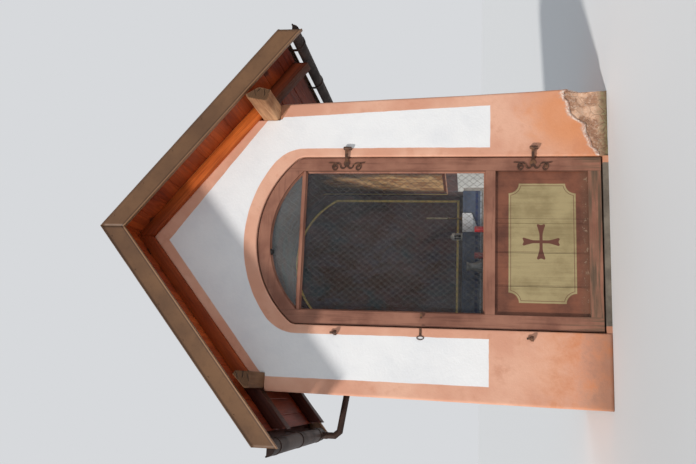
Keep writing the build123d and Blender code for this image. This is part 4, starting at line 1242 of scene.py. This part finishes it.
# Wire mesh behind the panes, and putty round them
wireMesh = {
    "wire": 0.0008, "apart": 0.9, "across": 0.035, "up": 0.045, "y": -0.478, "half": 0.414, "foot": 0.681,
    "bar": 1.735, "head": 1.751, "rise": 0.180, "lap": 0.003, "steps": 400,
    "tones": (tone(96, 95, 90), tone(80, 64, 52)),
}


def paneTop(x):
    # underside of the upper pane's arch: a circle through its two ends and its crown
    half, rise = wireMesh["half"], wireMesh["rise"]
    radius = (half ** 2 + rise ** 2) / (2 * rise)
    return wireMesh["head"] + rise - radius + np.sqrt(np.maximum(radius ** 2 - x ** 2, 0))


def addWireMesh():
    # straight wires in two directions, each clipped to the pane by the part of it that lies inside
    half, crown = wireMesh["half"], wireMesh["head"] + wireMesh["rise"]
    t = np.linspace(0, 1, wireMesh["steps"])
    shapes = []
    for low, top in ((wireMesh["foot"], lambda x: wireMesh["bar"]), (wireMesh["head"], paneTop)):
        reach = (crown - low) * wireMesh["across"] / wireMesh["up"]
        z = low + t * (crown - low)
        for way in (-1, 1):
            depth = wireMesh["y"] + way * wireMesh["wire"] * wireMesh["apart"]
            for start in np.arange(-half - reach, half + reach, wireMesh["across"]):
                x = start + way * t * reach
                inside = (np.abs(x) < half + wireMesh["lap"]) & (z < top(x) + wireMesh["lap"])
                if inside.sum() > 4:
                    ends = [(x[i], depth, z[i]) for i in np.flatnonzero(inside)[[0, -1]]]
                    shapes.append(carried(circle(wireMesh["wire"], 4), ends, up=(0, 1, 0)))
    rusty = mottledFinish("meshWire", *wireMesh["tones"], cloud=(40.0, 4, 0.6), reach=(0.45, 0.7),
                          gloss=(0.4, 0.7, 0.4, 0.7), Metallic=0.4, Specular_IOR_Level=0.4)
    addShapes("wireMesh", shapes, rusty, "door_leaf", smooth=False, weld=0.00001)


putty = {"leafSet": 0.010, "paneSet": 0.024, "drop": 0.001, "gap": 0.0003, "width": 0.009, "depth": 0.010}


def addPutty():
    # a sloped bead along the inner edges of the frame, in front of each pane, mitred at the corners
    y = chapel["front"] + putty["leafSet"] + putty["paneSet"] - putty["gap"]
    profile = [(putty["gap"], 0.0), (putty["width"], 0.0), (putty["gap"], putty["depth"])]
    half, bar, head = (wireMesh[k] for k in ("half", "bar", "head"))
    foot = wireMesh["foot"] - putty["drop"]
    main = [(-half, foot), (half, foot), (half, bar), (-half, bar)]
    x = np.linspace(half, -half, 40)[1:-1]
    arch = [(-half, head), (half, head), *zip(x, paneTop(x))]
    shapes = []
    for outline in (main, arch):
        corners = np.array(outline)
        ahead, behind = np.roll(corners, -1, 0) - corners, corners - np.roll(corners, 1, 0)
        turn = sum(v / np.linalg.norm(v, axis=1, keepdims=True) for v in (ahead, behind))
        inward = np.stack((-turn[:, 1], turn[:, 0]), 1) * (2 / (turn ** 2).sum(1))[:, None]
        rings = [corners + inward * away for away, _ in profile]
        columns = [gridOf(ring[:, 0], y - forward, ring[:, 1]) for ring, (_, forward) in zip(rings, profile)]
        shapes.append(loft(np.stack(columns, 1), loop=True))
    addShapes("puttyBeads", shapes, doorPaint, "door_leaf", smooth=False, weld=0.00001)


# Dark half-round knob under the arch rail, a little left of its middle; its black is partly painted shade
knob = {
    "at": (-0.077, -0.503, 1.904), "flat": 0.6, "sides": 32, "tones": (tone(30, 26, 25), tone(52, 42, 36)),
    "profile": ((0.0, 0.0), (0.007, 0.0008), (0.013, 0.0045), (0.0168, 0.011), (0.018, 0.018),
                (0.018, 0.026), (0.0, 0.026)),
}


def addKnob():
    # turned about an upright axis, then pressed flat towards the rail
    grid, cells = turned(knob["profile"], knob["at"], knob["sides"])
    grid[..., 1] = knob["at"][1] + (grid[..., 1] - knob["at"][1]) * knob["flat"]
    # blackened iron, darkened further as painted shade
    black = ironFinish("blackIronAndShade", *knob["tones"])
    addShapes("archKnob", [(grid, cells)], black, "door_leaf")


addWireMesh()
addPutty()
addKnob()
print("mesh and putty made")


# Altar cloth with a lace hem, its blue-grey partly painted shade, and a small white doily with a toothed edge
# under the candle
step = {"top": 0.8112, "front": 0.0343, "altarTop": 0.630}
cloth = {
    "half": 0.438, "middle": 0.0, "back": 0.2715, "front": step["front"], "top": step["top"] + 0.0008,
    "hem": 0.691, "columns": 260, "fold": 0.007, "seed": 3, "scallop": 0.018, "scallopDepth": 0.0045,
    "lean": 0.0, "bend": 0.005, "thick": 0.0008, "foldGap": 0.083, "foldDrift": 0.29,
    # the cloth's blue-grey tones are partly painted shade
    "tones": (tone(96, 108, 132), tone(64, 74, 96)), "band": (0.715, 0.733, tone(28, 44, 96)), "lace": 0.7015,
    "laceTone": tone(196, 204, 214),
}
doily = {
    "half": 0.062, "middle": 0.228, "back": 0.150, "front": step["front"] - 0.0012,
    "top": step["top"] + 0.0024, "hem": 0.730, "columns": 68, "fold": 0.002, "seed": 5, "scallop": 0.012,
    "scallopDepth": 0.007, "lean": 0.42, "flatTop": 0.116, "flatDrop": 0.082,
    "tones": (tone(244, 246, 250), tone(222, 228, 236)), "lace": 0.7465,
}


def clothFinish(name, sheet):
    # plain weave: two crossed sets of fine threads, a dark band, and lace holes along the hem
    f = Finish(name, Roughness=0.9, Specular_IOR_Level=0.15, Sheen_Weight=0.25)
    threads = f.maths("SINE", f.x * 5200.0) * f.maths("SINE", (f.z - f.y) * 5200.0)
    colour = f.between(f.noise(9.0, 4, 0.6), 0.3, 0.75, *sheet["tones"])
    if "band" in sheet:
        low, high, bandTone = sheet["band"]
        inBand = f.step(f.z, low, low + 0.001) * f.fade(f.z, high - 0.001, high)
        colour = f.mix(inBand * 0.85, colour, bandTone)
    holes = f.cells(190.0, at=f.stretched(y=0.0))
    inLace = f.fade(f.z, sheet["lace"] - 0.0005, sheet["lace"] + 0.0005)
    colour = f.mix(inLace, colour, cloth["laceTone"])
    return f.finish(colour, height=threads, relief=0.0003, alpha=1 - inLace * f.fade(holes, 0.26, 0.34))


def drape(sheet):
    # along the top from the back, round the front arris, and down in folds that grow towards the hem: each
    # fold is a sine of x that drifts by a second, slower sine, and the hem's teeth are the size of a sine
    bend, seed, top, front = cloth["bend"], sheet["seed"], sheet["top"], sheet["front"]
    turn = np.linspace(0, math.pi / 2, 6)[1:]
    path = [(y, top) for y in np.linspace(sheet["back"], front + bend, 14)]
    path += [(front + bend * (1 - math.sin(a)), top - bend * (1 - math.cos(a))) for a in turn]
    path += [(front, z) for z in np.linspace(top - bend, sheet["hem"], 30)[1:]]
    y, z = np.array(path).T[..., None]
    x = np.linspace(-sheet["half"], sheet["half"], sheet["columns"]) + sheet["middle"]
    drop = np.clip((top - z - bend) / (top - sheet["hem"]), 0, 1)
    drift = 1.6 * np.sin(2 * math.pi * x / cloth["foldDrift"] + seed)
    wave = 0.5 + 0.5 * np.sin(2 * math.pi * x / cloth["foldGap"] + drift + seed)
    edge = sheet["scallopDepth"] * (1 - np.abs(np.sin(math.pi * x / sheet["scallop"])))
    down = z + drop ** 6 * edge + drop * sheet["lean"] * (x - sheet["middle"])
    grid = gridOf(x, y - drop ** 1.2 * sheet["fold"] * wave, down)
    grid[..., 2] += (1 - np.clip(drop * 20, 0, 1)) * lumps(grid * (1, 1, 0), 0.06, seed) * 0.0008
    return grid


def addSheet(name, grid, finish):
    faces = quads(*grid.shape[:2])[:, ::-1].tolist()
    made = addMesh(name, grid, faces, finish, "chapel")
    return solid(merged(made, 0.00002, outward=False), cloth["thick"], 1.0)


def addCloths():
    made = addSheet("altarLinen", drape(cloth), clothFinish("blueLinenShaded", cloth))
    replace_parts(made, "altar_cloth")
    length = cloth["back"] - step["front"] + step["top"] - cloth["hem"]
    # below the arris the doily hangs in front of the cloth's folds
    grid = drape(doily)
    hangs = grid[..., 2] < step["top"] - 0.004
    grid[..., 1] = np.where(hangs, grid[..., 1] - cloth["fold"], grid[..., 1])
    made = addSheet("doily", grid, clothFinish("doilyCotton", doily))
    length = doily["flatTop"] + doily["flatDrop"]


addCloths()


# Things on the altar and its step: turned profiles are radius and height over their own foot
clear = 0.0004  # gap under what stands on the altar's top


def addTurned(name, shapes, finish, node):
    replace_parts(addShapes(name, shapes, finish, "chapel"), node)


def glazeFinish(name, pale, deep):
    return mottledFinish(name, pale, deep, cloud=(16.0, 4, 0.6), reach=(0.35, 0.68),
                         gloss=(0.3, 0.7, 0.18, 0.34), relief=0.0008, tall=0.5, warp=0.6,
                         Specular_IOR_Level=0.6, Coat_Weight=0.3)


votive = {
    "places": ((0.163, -0.075), (-0.004, -0.070)), "sides": 64, "ribs": 8, "ribDepth": 0.012,
    "ribFoot": 0.018, "ribHead": 0.086,
    "red": (tone(150, 14, 18), tone(196, 26, 28)), "shade": tone(150, 60, 60),
    "profile": ((0.0, 0.0), (0.0165, 0.0), (0.0185, 0.0015), (0.0192, 0.006), (0.0180, 0.012),
                (0.0196, 0.020), (0.0198, 0.084), (0.0186, 0.092), (0.0190, 0.098), (0.0193, 0.106),
                (0.0186, 0.1075), (0.0178, 0.106), (0.0174, 0.094), (0.0176, 0.070), (0.0, 0.068)),
}


def redGlassFinish():
    f = Finish("redGlass", Specular_IOR_Level=0.6, Coat_Weight=0.4)
    cloud = f.noise(26.0, 3, 0.6, at=f.stretched(z=0.4))
    colour = f.between(f.z, 0.640, 0.720, *votive["red"])
    return f.finish(f.shade(cloud * 0.6, colour, votive["shade"]), 0.22, cloud, 0.0005)


def addVotives():
    # the radius dips between the ribs by the size of a sine of the angle
    def ribs(angle, height):
        ribbed = (height > votive["ribFoot"]) & (height < votive["ribHead"])
        return 1 - votive["ribDepth"] * np.abs(np.sin(angle * votive["ribs"])) * ribbed

    foot = step["altarTop"] + clear
    shapes = [turned(votive["profile"], (x, y, foot), votive["sides"], ribs) for x, y in votive["places"]]
    addTurned("votiveCups", shapes, redGlassFinish(), "votive_lights")


lantern = {
    "at": (0.153, 0.125, 0.8136), "posts": 6, "postRing": 0.0215, "postRadius": 0.002,
    "postFoot": 0.008, "postHead": 0.054,
    "foot": ((0.0, 0.0), (0.024, 0.0), (0.0255, 0.002), (0.025, 0.006), (0.021, 0.010), (0.0, 0.010)),
    "cap": ((0.0, 0.052), (0.0235, 0.052), (0.0255, 0.055), (0.0245, 0.060), (0.019, 0.068), (0.010, 0.073),
            (0.006, 0.075), (0.0055, 0.078), (0.0, 0.0795)),
    "glass": ((0.0, 0.009), (0.018, 0.009), (0.018, 0.053), (0.0, 0.053)),
    "white": (tone(246, 246, 242), tone(214, 214, 208)), "smoked": (tone(84, 92, 84), tone(52, 58, 54)),
}


def addLantern():
    # white cap and foot, with a green-grey glass between posts on a ring
    at = np.array(lantern["at"])
    shapes = [turned(lantern[part], at) for part in ("foot", "cap")]
    for turn in np.arange(lantern["posts"]) * 2 * math.pi / lantern["posts"]:
        foot = at + (lantern["postRing"] * math.cos(turn), lantern["postRing"] * math.sin(turn), 0)
        ends = foot + [(0, 0, lantern["postFoot"]), (0, 0, lantern["postHead"])]
        shapes.append(carried(circle(lantern["postRadius"], 10), ends, up=(1, 0, 0)))
    white = glazeFinish("whiteGlaze", *lantern["white"])
    smoked = glazeFinish("smokedGlass", *lantern["smoked"])
    addTurned("lanternFrame", shapes, white, "lantern")
    addTurned("lanternGlass", [turned(lantern["glass"], at)], smoked, "lantern")


candle = {
    "at": (0.281, 0.155, 0.8136), "sides": 40, "drips": 3, "dripDepth": 0.10, "dripFoot": 0.15,
    "stick": ((0.0, 0.0), (0.031, 0.0), (0.0315, 0.002), (0.029, 0.004), (0.016, 0.007), (0.008, 0.014),
              (0.0045, 0.028), (0.0065, 0.040), (0.0042, 0.052), (0.0042, 0.080), (0.006, 0.090),
              (0.0118, 0.0955), (0.012, 0.0995), (0.0105, 0.0985), (0.006, 0.097), (0.0, 0.097)),
    "wax": ((0.0, 0.097), (0.0048, 0.097), (0.0047, 0.170), (0.0044, 0.235), (0.0038, 0.2385), (0.0, 0.237)),
    "wick": ((0.0, 0.0, 0.236), (0.0004, 0.0, 0.241), (0.0016, 0.0, 0.2455)), "wickRadius": 0.0007,
    "waxTones": (tone(232, 222, 188), tone(214, 198, 152)), "brass": (tone(168, 132, 72), tone(92, 68, 42)),
}


def waxFinish():
    f = Finish("candleWax", Specular_IOR_Level=0.4, Subsurface_Weight=0.15)
    cloud = f.noise(30.0, 3, 0.6)
    return f.finish(f.mix(cloud, *candle["waxTones"]), 0.45, cloud, 0.0006)


def addCandle():
    # a brass stick and its candle with a wick, and drips by the cube of a sine of the angle where it is
    # more than nothing
    def drips(angle, height):
        swell = np.maximum(np.sin(angle * candle["drips"] + 0.8), 0) ** 3
        return 1 + candle["dripDepth"] * swell * (height > candle["dripFoot"])

    at = np.array(candle["at"])
    brass = mottledFinish("oldBrass", *candle["brass"], cloud=(45.0, 4, 0.6), reach=(0.4, 0.7),
                          gloss=(0.3, 0.7, 0.3, 0.6), relief=0.0005, Metallic=0.85, Specular_IOR_Level=0.5)
    pieces = (
        ("candleStick", turned(candle["stick"], at), brass),
        ("candle", turned(candle["wax"], at, candle["sides"], drips), waxFinish()),
        ("wick", carried(circle(candle["wickRadius"], 6), at + candle["wick"], up=(0, 1, 0)), iron),
    )
    for name, shape, finish in pieces:
        addTurned(name, [shape], finish, "candlestick")


vase = {
    "at": (-0.072, -0.060), "sides": 96, "flutes": 12, "fluteDepth": 0.020, "fluteTop": 0.115,
    "grey": (tone(156, 158, 154), tone(112, 114, 112)),
    "profile": ((0.0, 0.0), (0.022, 0.0), (0.024, 0.002), (0.0235, 0.006), (0.026, 0.012), (0.034, 0.034),
                (0.0385, 0.056), (0.038, 0.070), (0.032, 0.090), (0.0255, 0.106), (0.0215, 0.118),
                (0.0225, 0.130), (0.027, 0.144), (0.0315, 0.1545), (0.0300, 0.1548), (0.0255, 0.144),
                (0.0205, 0.128), (0.0200, 0.110), (0.0, 0.104)),
}


def addVase():
    # flutes by a cosine of the angle, strongest at the middle of the belly
    def flutes(angle, height):
        strength = np.clip(np.sin(math.pi * np.clip(height / vase["fluteTop"], 0, 1)), 0, 1)
        return 1 + vase["fluteDepth"] * np.cos(angle * vase["flutes"]) * strength

    shape = turned(vase["profile"], (*vase["at"], step["altarTop"] + clear), vase["sides"], flutes)
    addTurned("flutedVase", [shape], glazeFinish("greyGlaze", *vase["grey"]), "vase")


addVotives()
addLantern()
addCandle()
addVase()
print("altar dressed")


# Stage, lamps and sky
stage = {"reach": 60, "tone": tone(220, 221, 223)}


def addStage():
    f = Finish("paleFloor", Roughness=0.95, Specular_IOR_Level=0.1)
    data = bpy.data.meshes.new("floor")
    ways = ((-1, -1), (1, -1), (1, 1), (-1, 1))
    data.from_pydata([(x * stage["reach"], y * stage["reach"], 0) for x, y in ways], [], [(0, 1, 2, 3)])
    data.materials.append(f.finish(stage["tone"]))
    floor = bpy.data.objects.new("floor", data)
    bpy.context.scene.collection.objects.link(floor)


# A broad sun from the left in front, and a weaker one from the right behind it; the sky gives the rest
lamps = {
    "sun": {"from": (-0.72, -0.60, 0.54), "angle": 5.0, "power": 3.0, "tint": (1.0, 0.965, 0.91)},
    "far": {"from": (0.55, 0.62, 0.60), "angle": 40.0, "power": 0.55, "tint": (0.94, 0.97, 1.0)},
}
sky = {"light": (0.88, 0.94, 1.0, 1), "strength": 0.38, "seen": tone(215, 217, 220), "seenStrength": 1.0}


def addLamps():
    for name, lamp in lamps.items():
        data = bpy.data.lights.new(name, "SUN")
        data.angle, data.energy, data.color = math.radians(lamp["angle"]), lamp["power"], lamp["tint"]
        made = bpy.data.objects.new(name, data)
        made.rotation_mode = "QUATERNION"
        made.rotation_quaternion = (-Vector(lamp["from"])).to_track_quat("-Z", "Y")
        bpy.context.scene.collection.objects.link(made)


def addSky():
    # pale for what the camera, a reflection or glass sees, and a dimmer blue as the light from all round
    world = bpy.data.worlds.new("sky")
    bpy.context.scene.world = world
    world.use_nodes = True
    nodes, link = world.node_tree.nodes, world.node_tree.links.new
    nodes.clear()
    rays = nodes.new("ShaderNodeLightPath").outputs
    seen = rays["Is Camera Ray"]
    for ray in ("Is Glossy Ray", "Is Transmission Ray"):
        added = nodes.new("ShaderNodeMath")
        added.operation, added.use_clamp = "ADD", True
        link(seen, added.inputs[0])
        link(rays[ray], added.inputs[1])
        seen = added.outputs[0]
    both = nodes.new("ShaderNodeMixShader")
    link(seen, both.inputs[0])
    for place, colour, strength in ((1, "light", "strength"), (2, "seen", "seenStrength")):
        glow = nodes.new("ShaderNodeBackground")
        glow.inputs[0].default_value, glow.inputs[1].default_value = sky[colour], sky[strength]
        link(glow.outputs[0], both.inputs[place])
    link(both.outputs[0], nodes.new("ShaderNodeOutputWorld").inputs[0])


addStage()
addLamps()
addSky()
print("stage, lamps and sky set")
